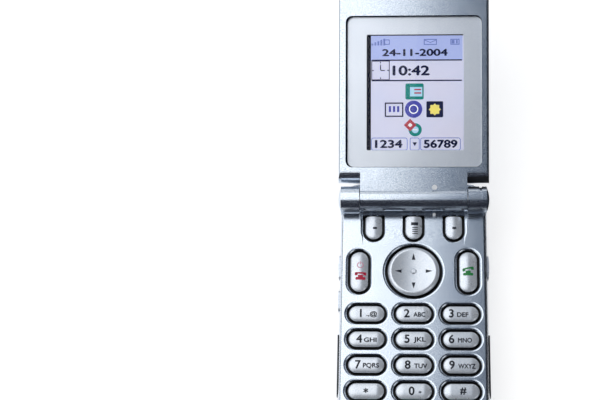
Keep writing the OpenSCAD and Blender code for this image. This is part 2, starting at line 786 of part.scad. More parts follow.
module hinge_cam_sleeve() {
  color(steel) lid_frame() translate([-tongue_w / 2, 0, 0]) rotate([0, 90, 0]) difference() {
    cylinder(r = 2.65, h = 13);
    translate([0, 0, -cut]) cylinder(r = shaft_r + 0.05, h = 7 + cut);
    translate([0, 0, 7]) cylinder(r = 2.2, h = 5.2);
  }
}

module hinge_spring() {
  color(steel) lid_frame() translate([-tongue_w / 2 + 7.4, 0, 0]) rotate([0, 90, 0]) difference() {
    cylinder(r = 2.1, h = 4.5);
    translate([0, 0, -cut]) cylinder(r = 1.6, h = 7);
  }
}

module hinge_flex() {
  color("orange") lid_frame() translate([0, 12.4, -3.2]) round_plate(9, 1, 0.3, 1.2);
}

base_front_housing();
base_rear_housing();
battery_door();
battery();
battery_contacts();
main_board();
shield_cans();
keypad_mat();
key_domes();
microphone();
vibration_motor();
bottom_connector();
antenna();
side_switches();
side_grip(-1);  // side_grip_left
side_grip(1);  // side_grip_right
base_bumper();
base_screws();
number_key(-1, 0);  // key_1
number_key(0, 0);  // key_2
number_key(1, 0);  // key_3
number_key(-1, 1);  // key_4
number_key(0, 1);  // key_5
number_key(1, 1);  // key_6
number_key(-1, 2);  // key_7
number_key(0, 2);  // key_8
number_key(1, 2);  // key_9
number_key(-1, 3);  // key_star
number_key(0, 3);  // key_0
number_key(1, 3);  // key_hash
soft_key(-soft_x);  // softkey_left
soft_key(0);  // menu_key
soft_key(soft_x);  // softkey_right
call_key(-1);  // end_key
call_key(1);  // send_key
nav_actuator();
nav_key();
side_key(-1, upper_side_key[0], upper_side_key[1]);  // volume_up_key
side_key(-1, lower_side_key[0], lower_side_key[1]);  // volume_down_key
side_key(1, upper_side_key[0], upper_side_key[1]);  // voice_key
hinge_pin_right();
hinge_cap(-1);  // hinge_cap_left
hinge_cap(1);  // hinge_cap_right
hinge_cam_shaft();
hinge_cam_sleeve();
hinge_spring();
hinge_flex();
lid_front_housing();
lid_rear_housing();
main_lens();
main_lcd();
lid_board();
earpiece_speaker();
earpiece_grille();
sub_display_lens();
sub_lcd();
lid_bumpers();
lid_screws();
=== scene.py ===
"""Finishes, prints and small pieces of an open clamshell mobile phone, set round its CAD frame.

Everything is in metres in the frame of the CAD model. Prints are drawn flat in millimetres and
then laid on the face that carries them.
"""

import json
import logging
import math
from collections.abc import Callable
from dataclasses import dataclass, field
from enum import Enum

import bpy
from bpy.types import Material, Node, NodeSocket, NodeTree, Object
from mathutils import Matrix, Vector


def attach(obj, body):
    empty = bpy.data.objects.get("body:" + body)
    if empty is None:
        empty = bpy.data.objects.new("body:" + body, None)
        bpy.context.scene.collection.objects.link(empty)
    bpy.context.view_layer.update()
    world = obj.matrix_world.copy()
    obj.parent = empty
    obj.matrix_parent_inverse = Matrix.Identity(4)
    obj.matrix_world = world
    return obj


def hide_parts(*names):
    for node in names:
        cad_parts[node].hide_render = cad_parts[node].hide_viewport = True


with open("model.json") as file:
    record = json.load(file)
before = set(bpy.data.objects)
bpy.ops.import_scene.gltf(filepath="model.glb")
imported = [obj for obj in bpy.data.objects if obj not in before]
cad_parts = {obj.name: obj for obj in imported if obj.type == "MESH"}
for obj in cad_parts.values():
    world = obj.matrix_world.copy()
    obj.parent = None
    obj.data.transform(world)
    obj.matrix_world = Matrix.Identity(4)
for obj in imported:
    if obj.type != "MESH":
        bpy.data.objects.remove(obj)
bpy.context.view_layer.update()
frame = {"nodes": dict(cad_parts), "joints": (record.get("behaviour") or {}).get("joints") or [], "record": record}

LOG = logging.getLogger("phone")
MM = 0.001
Pair = tuple[float, float]
Triple = tuple[float, float, float]
NODES = frame["nodes"]
HINGE = next(joint for joint in frame["joints"] if joint["name"] == "lid_hinge")
HINGE_Z = HINGE["pos_m"][2] / MM
LID_TILT = math.radians(180 - HINGE["range_deg"][1])
MILLIMETRES = Matrix.Scale(MM, 4)
LID_PLACE = Matrix.Translation((0, 0, HINGE_Z * MM)) @ Matrix.Rotation(LID_TILT, 4, "X") @ MILLIMETRES


# ---------- Nodes and selection ----------


def linear(hex_colour: str) -> tuple[float, ...]:
    """Turns an sRGB colour into the linear one that shaders take.

    Args:
        hex_colour: six hex digits, with or without a leading #.

    Returns:
        Linear red, green, blue and an alpha of 1.
    """
    digits = hex_colour.lstrip("#")
    shares = [int(digits[i : i + 2], 16) / 255 for i in (0, 2, 4)]
    return (*(s / 12.92 if s <= 0.04045 else ((s + 0.055) / 1.055) ** 2.4 for s in shares), 1.0)


def per_metre(size_mm: float) -> float:
    """How often a size in millimetres fits into a metre, which is the scale of a pattern."""
    return 1 / (size_mm * MM)


def add_node(
    tree: NodeTree, kind: str, inputs: dict[str | int, object] | None = None, **settings: object
) -> Node:
    """Adds a node with its settings and links.

    Args:
        tree: the material's or world's node tree.
        kind: the node's type name.
        inputs: a value, or another node's output socket, for each input by name or number.
        settings: the node's own properties.

    Returns:
        The new node.
    """
    made = tree.nodes.new(kind)
    for name, value in settings.items():
        setattr(made, name, value)
    for socket, value in (inputs or {}).items():
        if isinstance(value, NodeSocket):
            tree.links.new(value, made.inputs[socket])
        else:
            made.inputs[socket].default_value = value
    return made


def select_only(*objects: Object) -> None:
    """Selects these objects alone, the first of them active.

    Args:
        objects: what is selected; none of them deselects everything.
    """
    bpy.ops.object.select_all(action="DESELECT")
    for item in objects:
        item.select_set(True)
    bpy.context.view_layer.objects.active = objects[0] if objects else None


def apply_modifier(piece: Object, kind: str, **settings: object) -> None:
    """Adds a modifier with its settings and applies it.

    Args:
        piece: the mesh object.
        kind: the modifier's type name.
        settings: the modifier's properties.
    """
    select_only(piece)
    modifier = piece.modifiers.new(kind.lower(), kind)
    for name, value in settings.items():
        setattr(modifier, name, value)
    bpy.ops.object.modifier_apply(modifier=modifier.name)


def settle(piece: Object, place: Matrix) -> None:
    """Moves a finished piece to its place and writes that place into its mesh.

    Args:
        piece: the mesh object.
        place: its place, in metres.
    """
    piece.matrix_world = place @ piece.matrix_world
    select_only(piece)
    bpy.ops.object.transform_apply(location=True, rotation=True, scale=True)


# ---------- Finishes ----------


@dataclass(frozen=True)
class Finish:
    """A surface finish: one solid material with a fine pattern of its own."""

    name: str
    colour: str
    roughness: float
    metallic: float = 0.0
    shine: float = 0.5
    patch_mm: float = 6.0
    gloss: Pair = (0.85, 1.15)  # shares of the roughness between which it varies

    def vary_gloss(self, tree: NodeTree, marks: NodeSocket, surface: Node, span: Pair = (0.0, 1.0)) -> None:
        """Lets a pattern vary the surface's roughness.

        Args:
            tree: the material's node tree.
            marks: the pattern.
            surface: the Principled shader.
            span: the pattern's values at the two ends of the variation.
        """
        least, most = (self.roughness * share for share in self.gloss)
        level = add_node(
            tree,
            "ShaderNodeMapRange",
            {"Value": marks, "From Min": span[0], "From Max": span[1], "To Min": least, "To Max": most},
        )
        tree.links.new(level.outputs[0], surface.inputs["Roughness"])

    def pattern(self, tree: NodeTree, coords: NodeSocket, surface: Node) -> None:
        """Adds what makes the surface uneven. The plain finish adds a faint variation of its gloss.

        Args:
            tree: the material's node tree.
            coords: the object coordinates.
            surface: the Principled shader.
        """
        patches = add_node(
            tree, "ShaderNodeTexNoise", {"Vector": coords, "Scale": per_metre(self.patch_mm), "Detail": 3.0}
        )
        self.vary_gloss(tree, patches.outputs[0], surface)

    def build(self) -> Material:
        """Makes the material.

        Returns:
            The material, named for the finish.
        """
        material = bpy.data.materials.new(self.name)
        material.use_nodes = True
        tree = material.node_tree
        surface = tree.nodes["Principled BSDF"]
        surface.inputs["Base Color"].default_value = linear(self.colour)
        surface.inputs["Roughness"].default_value = self.roughness
        surface.inputs["Metallic"].default_value = self.metallic
        surface.inputs["Specular IOR Level"].default_value = self.shine
        coords = add_node(tree, "ShaderNodeTexCoord").outputs["Object"]
        self.pattern(tree, coords, surface)
        return material


@dataclass(frozen=True)
class SilverLacquer(Finish):
    """Aluminium-flake lacquer sprayed on moulded ABS, which gives a cool, softly glittering silver."""

    gloss: Pair = (0.92, 1.12)
    light_flake: str = "#DCE4EC"
    flake_mm: float = 0.28  # real flakes are finer than a tenth of this; this is the finest that shows
    flake_span: Pair = (0.3, 0.72)
    mark_mm: float = 9.0
    mark_span: Pair = (0.3, 0.7)
    peel_mm: float = 1.6
    peel_depth_mm: float = 0.0012
    clear_coat: float = 0.3
    coat_roughness: float = 0.12

    def pattern(self, tree: NodeTree, coords: NodeSocket, surface: Node) -> None:
        """Adds flakes, the sprayed coat's orange peel, and handling marks in its gloss.

        Args:
            tree: the material's node tree.
            coords: the object coordinates.
            surface: the Principled shader.
        """
        flakes = add_node(
            tree, "ShaderNodeTexNoise", {"Vector": coords, "Scale": per_metre(self.flake_mm), "Detail": 1.0}
        )
        low, high = self.flake_span
        shade = add_node(
            tree, "ShaderNodeMapRange", {"Value": flakes.outputs[0], "From Min": low, "From Max": high}
        )
        silver = add_node(
            tree,
            "ShaderNodeMix",
            {"Factor": shade.outputs[0], 6: linear(self.colour), 7: linear(self.light_flake)},
            data_type="RGBA",
        )
        tree.links.new(silver.outputs[2], surface.inputs["Base Color"])
        marks = add_node(
            tree, "ShaderNodeTexNoise", {"Vector": coords, "Scale": per_metre(self.mark_mm), "Detail": 4.0}
        )
        self.vary_gloss(tree, marks.outputs[0], surface, self.mark_span)
        surface.inputs["Coat Weight"].default_value = self.clear_coat
        surface.inputs["Coat Roughness"].default_value = self.coat_roughness
        peel = add_node(
            tree, "ShaderNodeTexNoise", {"Vector": coords, "Scale": per_metre(self.peel_mm), "Detail": 0.0}
        )
        relief = add_node(
            tree,
            "ShaderNodeBump",
            {"Height": peel.outputs[0], "Distance": self.peel_depth_mm * MM, "Strength": 1.0},
        )
        tree.links.new(relief.outputs[0], surface.inputs["Normal"])


@dataclass(frozen=True)
class GrainedMoulding(Finish):
    """Moulded rubber or plastic with a spark-eroded grain, which gives a matt, slightly dusty surface."""

    dust: str = "#4A4E57"
    dust_mm: float = 3.5
    dust_span: Pair = (0.4, 0.8)
    dust_share: float = 0.7
    grain_mm: float = 0.3
    grain_depth_mm: float = 0.012

    def pattern(self, tree: NodeTree, coords: NodeSocket, surface: Node) -> None:
        """Adds the mould's spark-eroded grain and dust in patches.

        Args:
            tree: the material's node tree.
            coords: the object coordinates.
            surface: the Principled shader.
        """
        grain = add_node(
            tree, "ShaderNodeTexNoise", {"Vector": coords, "Scale": per_metre(self.grain_mm), "Detail": 2.0}
        )
        patches = add_node(
            tree, "ShaderNodeTexNoise", {"Vector": coords, "Scale": per_metre(self.dust_mm), "Detail": 3.0}
        )
        low, high = self.dust_span
        shade = add_node(
            tree,
            "ShaderNodeMapRange",
            {"Value": patches.outputs[0], "From Min": low, "From Max": high, "To Max": self.dust_share},
        )
        dusty = add_node(
            tree,
            "ShaderNodeMix",
            {"Factor": shade.outputs[0], 6: linear(self.colour), 7: linear(self.dust)},
            data_type="RGBA",
        )
        tree.links.new(dusty.outputs[2], surface.inputs["Base Color"])
        relief = add_node(
            tree,
            "ShaderNodeBump",
            {"Height": grain.outputs[0], "Distance": self.grain_depth_mm * MM, "Strength": 1.0},
        )
        tree.links.new(relief.outputs[0], surface.inputs["Normal"])


@dataclass(frozen=True)
class Metal(Finish):
    """Turned or stamped metal, with fine lines along one direction."""

    gloss: Pair = (0.7, 1.3)
    line_mm: float = 0.12
    stretch: Triple = (0.05, 1.0, 1.0)
    line_depth_mm: float = 0.002

    def pattern(self, tree: NodeTree, coords: NodeSocket, surface: Node) -> None:
        """Adds the drawn or rolled lines.

        Args:
            tree: the material's node tree.
            coords: the object coordinates.
            surface: the Principled shader.
        """
        stretched = add_node(tree, "ShaderNodeMapping", {"Vector": coords, "Scale": self.stretch})
        lines = add_node(
            tree,
            "ShaderNodeTexNoise",
            {"Vector": stretched.outputs[0], "Scale": per_metre(self.line_mm), "Detail": 2.0},
        )
        self.vary_gloss(tree, lines.outputs[0], surface)
        relief = add_node(
            tree,
            "ShaderNodeBump",
            {"Height": lines.outputs[0], "Distance": self.line_depth_mm * MM, "Strength": 1.0},
        )
        tree.links.new(relief.outputs[0], surface.inputs["Normal"])


@dataclass(frozen=True)
class CircuitBoard(Finish):
    """Glass-epoxy board under solder mask, with copper tracks that show as paler lines."""

    track: str = "#2F7A4C"
    track_mm: float = 0.8
    track_pitch: float = 4.0  # in tracks' widths
    track_share: float = 0.03
    track_depth_mm: float = 0.02

    def pattern(self, tree: NodeTree, coords: NodeSocket, surface: Node) -> None:
        """Adds the tracks.

        Args:
            tree: the material's node tree.
            coords: the object coordinates.
            surface: the Principled shader.
        """
        tracks = add_node(
            tree,
            "ShaderNodeTexBrick",
            {
                "Vector": coords,
                "Scale": per_metre(self.track_mm * self.track_pitch),
                "Color1": linear(self.colour),
                "Color2": linear(self.colour),
                "Mortar": linear(self.track),
                "Mortar Size": self.track_share,
            },
        )
        tree.links.new(tracks.outputs[0], surface.inputs["Base Color"])
        relief = add_node(
            tree,
            "ShaderNodeBump",
            {"Height": tracks.outputs[1], "Distance": self.track_depth_mm * MM, "Strength": 1.0},
        )
        tree.links.new(relief.outputs[0], surface.inputs["Normal"])


@dataclass(frozen=True)
class ClearAcrylic(Finish):
    """Cast acrylic with a hard anti-reflection coat, clear and glossy, with hairline scratches."""

    gloss: Pair = (1.0, 4.0)
    ior: float = 1.18  # plain acrylic has 1.49; the coat takes most of its reflection away
    scratch_mm: float = 0.5
    scratch_turn: float = 0.6  # radians about Z
    scratch_stretch: Triple = (0.04, 1.0, 1.0)
    scratch_span: Pair = (0.62, 0.7)
    shadow: str = "#F4F7FA"

    def pattern(self, tree: NodeTree, coords: NodeSocket, surface: Node) -> None:
        """Makes the shader clear, lets lamps through it, and adds hairlines.

        Args:
            tree: the material's node tree.
            coords: the object coordinates.
            surface: the Principled shader.
        """
        surface.inputs["IOR"].default_value = self.ior
        surface.inputs["Transmission Weight"].default_value = 1.0
        turn = (0, 0, self.scratch_turn)
        stretched = add_node(
            tree, "ShaderNodeMapping", {"Vector": coords, "Rotation": turn, "Scale": self.scratch_stretch}
        )
        lines = add_node(
            tree,
            "ShaderNodeTexNoise",
            {"Vector": stretched.outputs[0], "Scale": per_metre(self.scratch_mm), "Detail": 2.0},
        )
        self.vary_gloss(tree, lines.outputs[0], surface, self.scratch_span)
        path = add_node(tree, "ShaderNodeLightPath")
        clear = add_node(tree, "ShaderNodeBsdfTransparent", {"Color": linear(self.shadow)})
        shown = add_node(
            tree,
            "ShaderNodeMixShader",
            {0: path.outputs["Is Shadow Ray"], 1: surface.outputs[0], 2: clear.outputs[0]},
        )
        tree.links.new(shown.outputs[0], tree.nodes["Material Output"].inputs["Surface"])


@dataclass(frozen=True)
class LiquidCrystal(Finish):
    """Backlit liquid crystal panel: a pale lavender ground with the grid of its pixels."""

    warm: str = "#D9D5E2"
    drift_mm: float = 16.0
    grid: str = "#A9AECB"
    grid_share: float = 0.06
    pixel_mm: float = 0.24
    glow: float = 0.44

    def pattern(self, tree: NodeTree, coords: NodeSocket, surface: Node) -> None:
        """Adds the pixel grid, the ground's drift from blue to pink, and the backlight.

        Args:
            tree: the material's node tree.
            coords: the object coordinates.
            surface: the Principled shader.
        """
        cloud = add_node(
            tree, "ShaderNodeTexNoise", {"Vector": coords, "Scale": per_metre(self.drift_mm), "Detail": 1.0}
        )
        ground = add_node(
            tree,
            "ShaderNodeMix",
            {"Factor": cloud.outputs[0], 6: linear(self.colour), 7: linear(self.warm)},
            data_type="RGBA",
        )
        pixels = add_node(
            tree,
            "ShaderNodeTexBrick",
            {
                "Vector": coords,
                "Scale": per_metre(self.pixel_mm),
                "Mortar Size": self.grid_share,
                "Brick Width": 1.0,
                "Row Height": 1.0,
            },
            offset=0.0,
        )
        shade = add_node(
            tree,
            "ShaderNodeMix",
            {"Factor": pixels.outputs[1], 6: ground.outputs[2], 7: linear(self.grid)},
            data_type="RGBA",
        )
        tree.links.new(shade.outputs[2], surface.inputs["Base Color"])
        tree.links.new(shade.outputs[2], surface.inputs["Emission Color"])
        surface.inputs["Emission Strength"].default_value = self.glow


@dataclass(frozen=True)
class Ink(Finish):
    """Screen-printed or tampo-printed ink, slightly thinner in spots."""

    thin: str = "#20263A"
    spot_mm: float = 0.35
    spot_span: Pair = (0.55, 0.85)
    spot_share: float = 0.6
    glow: float = 0.0

    def pattern(self, tree: NodeTree, coords: NodeSocket, surface: Node) -> None:
        """Adds the uneven density of a printed film, and its light where it glows.

        Args:
            tree: the material's node tree.
            coords: the object coordinates.
            surface: the Principled shader.
        """
        spots = add_node(
            tree, "ShaderNodeTexNoise", {"Vector": coords, "Scale": per_metre(self.spot_mm), "Detail": 2.0}
        )
        low, high = self.spot_span
        shade = add_node(
            tree,
            "ShaderNodeMapRange",
            {"Value": spots.outputs[0], "From Min": low, "From Max": high, "To Max": self.spot_share},
        )
        film = add_node(
            tree,
            "ShaderNodeMix",
            {"Factor": shade.outputs[0], 6: linear(self.colour), 7: linear(self.thin)},
            data_type="RGBA",
        )
        tree.links.new(film.outputs[2], surface.inputs["Base Color"])
        if self.glow > 0:
            tree.links.new(film.outputs[2], surface.inputs["Emission Color"])
            surface.inputs["Emission Strength"].default_value = self.glow


@dataclass(frozen=True)
class Pixels(Ink):
    """Lit pixels of one colour, which glow and have next to no gloss behind the lens."""

    roughness: float = 0.6
    shine: float = 0.1
    glow: float = 0.4


class Coat(Enum):
    """The finishes of the phone, each with what it gives the eye."""

    # Sprayed on the four housings: cool silver that falls off quickly from light to dark
    SHELL = SilverLacquer("silver_lacquer_on_abs", "#B3BFD0", 0.22, 0.95)
    # Sprayed on the keycaps, a little paler and less metallic
    KEYCAP = SilverLacquer(
        "silver_lacquer_on_keycaps", "#CBD5E2", 0.28, 0.5, light_flake="#E9EEF5", clear_coat=0.15
    )
    # Printed behind the lens: silver, flatter than the lacquer because the acrylic covers it
    WINDOW_PRINT = SilverLacquer(
        "silver_ink_behind_acrylic", "#D8DFEA", 0.36, 0.6, light_flake="#E8EDF4", clear_coat=0.0
    )
    # Near black and matt, the moulded parts' own colour where no lacquer reaches, and also painted shade on the
    # key openings' lip and on the lid's right end wall
    BARE_ABS = GrainedMoulding(
        "bare_abs_and_painted_shade", "#0B0D13", 0.6, dust="#14171F", grain_mm=0.4, grain_depth_mm=0.004
    )
    # Black foam, so dull that it shows as a black line: painted shadow along the panel's left and top, and the
    # lens's seat, which is also painted shade in the pocket's gap
    GASKET = GrainedMoulding(
        "black_foam_and_painted_shadow", "#0A0E22", 0.8, shine=0.1, dust="#141A30", grain_mm=0.4
    )
    # Matt dark grey with dust in its grain
    RUBBER = GrainedMoulding("moulded_thermoplastic_rubber", "#2A2C33", 0.72)
    # Black with a weak sheen
    DARK_NYLON = GrainedMoulding("moulded_black_nylon", "#17181C", 0.5, dust="#26282E", grain_mm=0.5)
    # Milky white and soft
    SILICONE = GrainedMoulding(
        "moulded_silicone", "#E2E6EC", 0.5, dust="#F0F2F5", grain_mm=0.8, grain_depth_mm=0.004
    )
    # Clear with next to no reflection, so that what lies behind it shows
    LENS = ClearAcrylic("hard_coated_cast_acrylic", "#FFFFFF", 0.02)
    # Black and glossy from outside
    SMOKED_LENS = Finish("smoked_acrylic", "#14161C", 0.06)
    # An even pale lavender light, and the grey of a panel without its backlight
    PANEL = LiquidCrystal("liquid_crystal_panel", "#C8CEE8", 0.4, shine=0.1)
    DARK_PANEL = Finish("unlit_liquid_crystal", "#7C8794", 0.3)
    # Metals with lines along their grain: bright, satin and yellow
    STEEL = Metal("drawn_stainless_steel", "#B4B6BA", 0.28, 1.0)
    GRILLE = Metal("etched_aluminium", "#A9B1BC", 0.35, 1.0, stretch=(1.0, 0.1, 1.0))
    GOLD = Metal("gold_plated_bronze", "#D8B25C", 0.25, 1.0, stretch=(1.0, 0.05, 1.0))
    # Inside: the battery's dull dark sleeve, the deep green board with paler tracks, the amber flex
    CELL = Finish("heat_shrunk_polyester_sleeve", "#2E3036", 0.45)
    BOARD = CircuitBoard("solder_masked_glass_epoxy", "#14502C", 0.4)
    FLEX = Finish("polyimide_film", "#B4701E", 0.35)
    # Printed on the keys: flat satin colours, a little thinner in spots
    LEGEND = Ink("dark_blue_tampo_ink", "#141A2C", 0.4)
    RED_MARK = Ink("red_tampo_ink", "#B8123C", 0.4, thin="#CC5B78")
    GREEN_MARK = Ink("green_tampo_ink", "#17803E", 0.4, thin="#4FA06C")
    PINK_MARK = Ink("pink_tampo_ink", "#D59AB0", 0.4, thin="#E2BCCB")
    # Shown by the panels: flat colours that glow
    PIXEL_NAVY = Pixels("dark_pixels", "#1B1F3E", thin="#3C4270")
    PIXEL_LAVENDER = Pixels("lavender_pixels", "#A6B2E0", thin="#B4BDE6")
    PIXEL_BLUE = Pixels("blue_pixels", "#6C7BB8", thin="#8E9AD0")
    PIXEL_VIOLET = Pixels("violet_pixels", "#474A9E", thin="#6669BA")
    PIXEL_TEAL = Pixels("teal_pixels", "#1F7F78", thin="#4A9F98")
    PIXEL_SKY = Pixels("sky_pixels", "#A8CDE4", thin="#C4DDEE")
    PIXEL_YELLOW = Pixels("yellow_pixels", "#E2D77A", thin="#EAE3A4")
    PIXEL_RED = Pixels("red_pixels", "#A9414C", thin="#C06E76")
    PIXEL_WHITE = Pixels("white_pixels", "#F0F1F6", thin="#E2E4EE")

    @property
    def material(self) -> Material:
        """The finish's material, made when it is first asked for."""
        return bpy.data.materials.get(self.value.name) or self.value.build()


def dress(piece: Object, coat: Coat, bare_and_shaded: Callable[[Vector], bool] | None = None) -> None:
    """Gives a piece or a CAD node its material.

    Args:
        piece: the mesh object.
        coat: its finish.
        bare_and_shaded: a test of a face's centre in millimetres, true where the face is made black: where the
            lacquer doesn't reach, and where shade is painted.
    """
    piece.data.materials.clear()
    piece.data.materials.append(coat.material)
    if bare_and_shaded is not None:
        piece.data.materials.append(Coat.BARE_ABS.material)
        for face in piece.data.polygons:
            face.material_index = int(bare_and_shaded(face.center / MM))


# ---------- Flat prints ----------

ROUND_SIDES = 32  # sides of a disc or a ring
CORNER_STEPS = 5  # faces on a round corner
CURVE_STEPS = 4  # edges on each curve of a figure
CAP_SHARE = 0.73  # height of a figure against the size of the type
BEND_STRIP = 0.3  # on a curved face, how far apart a print is cut so that it can bend, in millimetres
LIFT = 0.004  # gap between a curved face and its print, in millimetres


@dataclass
class Print:
    """A thin print, drawn flat in millimetres round its own centre and then laid on a face."""

    name: str
    coat: Coat
    parts: list[Object] = field(default_factory=list)

    def keep(self) -> None:
        """Keeps the active object as a part of the print."""
        self.parts.append(bpy.context.object)

    def bar(self, x: float, y: float, w: float, h: float, r: float = 0.0, turn: float = 0.0) -> "Print":
        """Draws a bar.

        Args:
            x: its centre across.
            y: its centre along.
            w: its width.
            h: its height.
            r: the radius of its corners.
            turn: how far it is turned, in degrees.

        Returns:
            The print.
        """
        select_only()
        bpy.ops.mesh.primitive_plane_add(size=1)
        piece = bpy.context.object
        piece.scale = (w, h, 1)
        bpy.ops.object.transform_apply(scale=True)
        if r > 0:
            bpy.ops.object.mode_set(mode="EDIT")
            bpy.ops.mesh.select_all(action="SELECT")
            bpy.ops.mesh.bevel(offset=r, segments=CORNER_STEPS, affect="VERTICES")
            bpy.ops.object.mode_set(mode="OBJECT")
        piece.rotation_euler = (0, 0, math.radians(turn))
        piece.location = (x, y, 0)
        self.keep()
        return self

    def disc(
        self, x: float, y: float, r: float, sides: int = ROUND_SIDES, turn: float = 0.0, stretch: float = 1.0
    ) -> "Print":
        """Draws a disc, or a regular polygon where sides is small.

        Args:
            x: its centre across.
            y: its centre along.
            r: its radius.
            sides: the number of its sides.
            turn: how far it is turned, in degrees.
            stretch: how far it is drawn out towards its first corner.

        Returns:
            The print.
        """
        select_only()
        bpy.ops.mesh.primitive_circle_add(vertices=sides, radius=r, fill_type="NGON", location=(x, y, 0))
        bpy.context.object.scale = (1, stretch, 1)
        bpy.context.object.rotation_euler = (0, 0, math.radians(turn))
        self.keep()
        return self

    def ring(self, x: float, y: float, r: float, line: float, opening: float = 0.0) -> "Print":
        """Draws a ring.

        Args:
            x: its centre across.
            y: its centre along.
            r: its outer radius.
            line: the width of its line.
            opening: the angle that is left open at the top, in degrees.

        Returns:
            The print.
        """
        select_only()
        bpy.ops.mesh.primitive_circle_add(vertices=ROUND_SIDES, radius=r, fill_type="NGON")
        piece = bpy.context.object
        bpy.ops.object.mode_set(mode="EDIT")
        bpy.ops.mesh.select_all(action="SELECT")
        bpy.ops.mesh.inset(thickness=line)
        bpy.ops.mesh.delete(type="ONLY_FACE")
        bpy.ops.object.mode_set(mode="OBJECT")
        if opening > 0:
            limit = math.cos(math.radians(opening / 2))
            for face in piece.data.polygons:
                face.select = face.center.y / math.hypot(face.center.x, face.center.y) > limit
            bpy.ops.object.mode_set(mode="EDIT")
            bpy.ops.mesh.select_mode(type="FACE")
            bpy.ops.mesh.delete(type="FACE")
            bpy.ops.object.mode_set(mode="OBJECT")
        piece.location = (x, y, 0)
        self.keep()
        return self

    def frame(self, x: float, y: float, w: float, h: float, line: float, r: float = 0.0) -> "Print":
        """Draws a frame: a bar with its middle left out.

        Args:
            x: its centre across.
            y: its centre along.
            w: its outer width.
            h: its outer height.
            line: the width of its line.
            r: the radius of its corners.

        Returns:
            The print.
        """
        self.bar(0, 0, w, h, r)
        piece = self.parts[-1]
        select_only(piece)
        bpy.ops.object.mode_set(mode="EDIT")
        bpy.ops.mesh.select_all(action="SELECT")
        bpy.ops.mesh.inset(thickness=line)
        bpy.ops.mesh.delete(type="ONLY_FACE")
        bpy.ops.object.mode_set(mode="OBJECT")
        piece.location = (x, y, 0)
        return self

    def text(
        self, words: str, x: float, y: float, height: float, bold: float = 0.0, width: float = 0.0
    ) -> "Print":
        """Draws figures or letters.

        Args:
            words: what is written.
            x: its centre across.
            y: its centre along.
            height: the height of the figures.
            bold: how far the strokes are widened.
            width: the width of the whole word, or 0 for the type's own.

        Returns:
            The print.
        """
        select_only()
        bpy.ops.object.text_add()
        piece = bpy.context.object
        piece.data.body = words
        piece.data.size = height / CAP_SHARE
        piece.data.resolution_u = CURVE_STEPS
        bpy.ops.object.convert(target="MESH")
        piece = bpy.context.object
        lowest, highest = Vector(piece.bound_box[0]), Vector(piece.bound_box[6])
        piece.data.transform(Matrix.Translation(-(lowest + highest) / 2))
        if bold > 0:
            strikes = [piece]
            for dx, dy in ((-bold, 0), (bold, 0), (0, -bold), (0, bold)):
                strikes.append(piece.copy())
                strikes[-1].data = piece.data.copy()
                strikes[-1].data.transform(Matrix.Translation((dx, dy, 0)))
                bpy.context.collection.objects.link(strikes[-1])
            select_only(*strikes)
            bpy.ops.object.join()
        if width > 0:
            piece.scale = (width / (highest.x - lowest.x), 1, 1)
        piece.location = (x, y, 0)
        self.keep()
        return self

    def joined(self) -> Object:
        """Joins the drawn parts into one flat mesh with its faces upwards.

        Returns:
            The flat mesh, named for the print.
        """
        for part in self.parts:
            select_only(part)
            bpy.ops.object.transform_apply(location=True, rotation=True, scale=True)
        select_only(*self.parts)
        if len(self.parts) > 1:
            bpy.ops.object.join()
        piece = bpy.context.object
        piece.name = piece.data.name = self.name
        return piece

    def lay(self, place: Matrix, body: str, onto: Object | None = None, thickness: float = 0.02) -> Object:
        """Lays the print on its face, gives it a thickness and dresses it.

        Args:
            place: the face's place, with +Z out of it, which turns millimetres into metres.
            body: the CAD body that the print rides on.
            onto: the piece whose curved face the print follows, if it isn't flat.
            thickness: the thickness of the print, in millimetres.

        Returns:
            The finished print.
        """
        piece = self.joined()
        if onto is not None:
            low = min(v.co.y for v in piece.data.vertices)
            high = max(v.co.y for v in piece.data.vertices)
            left = min(v.co.x for v in piece.data.vertices)
            right = max(v.co.x for v in piece.data.vertices)
            select_only(piece)
            bpy.ops.object.mode_set(mode="EDIT")
            for start, end, normal in ((low, high, (0, 1, 0)), (left, right, (1, 0, 0))):
                for i in range(1, max(2, round((end - start) / BEND_STRIP))):
                    cut = [n * (start + i * BEND_STRIP) for n in normal]
                    bpy.ops.mesh.select_all(action="SELECT")
                    bpy.ops.mesh.bisect(plane_co=cut, plane_no=normal)
            bpy.ops.object.mode_set(mode="OBJECT")
        settle(piece, place)
        if onto is not None:
            apply_modifier(
                piece,
                "SHRINKWRAP",
                target=onto,
                wrap_method="PROJECT",
                use_project_z=True,
                use_negative_direction=True,
                use_positive_direction=False,
                offset=LIFT * MM,
            )
        apply_modifier(piece, "SOLIDIFY", thickness=thickness * MM, offset=1.0)
        dress(piece, self.coat)
        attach(piece, body)
        LOG.info("print %s on %s", self.name, body)
        return piece


# ---------- Sub-assemblies ----------


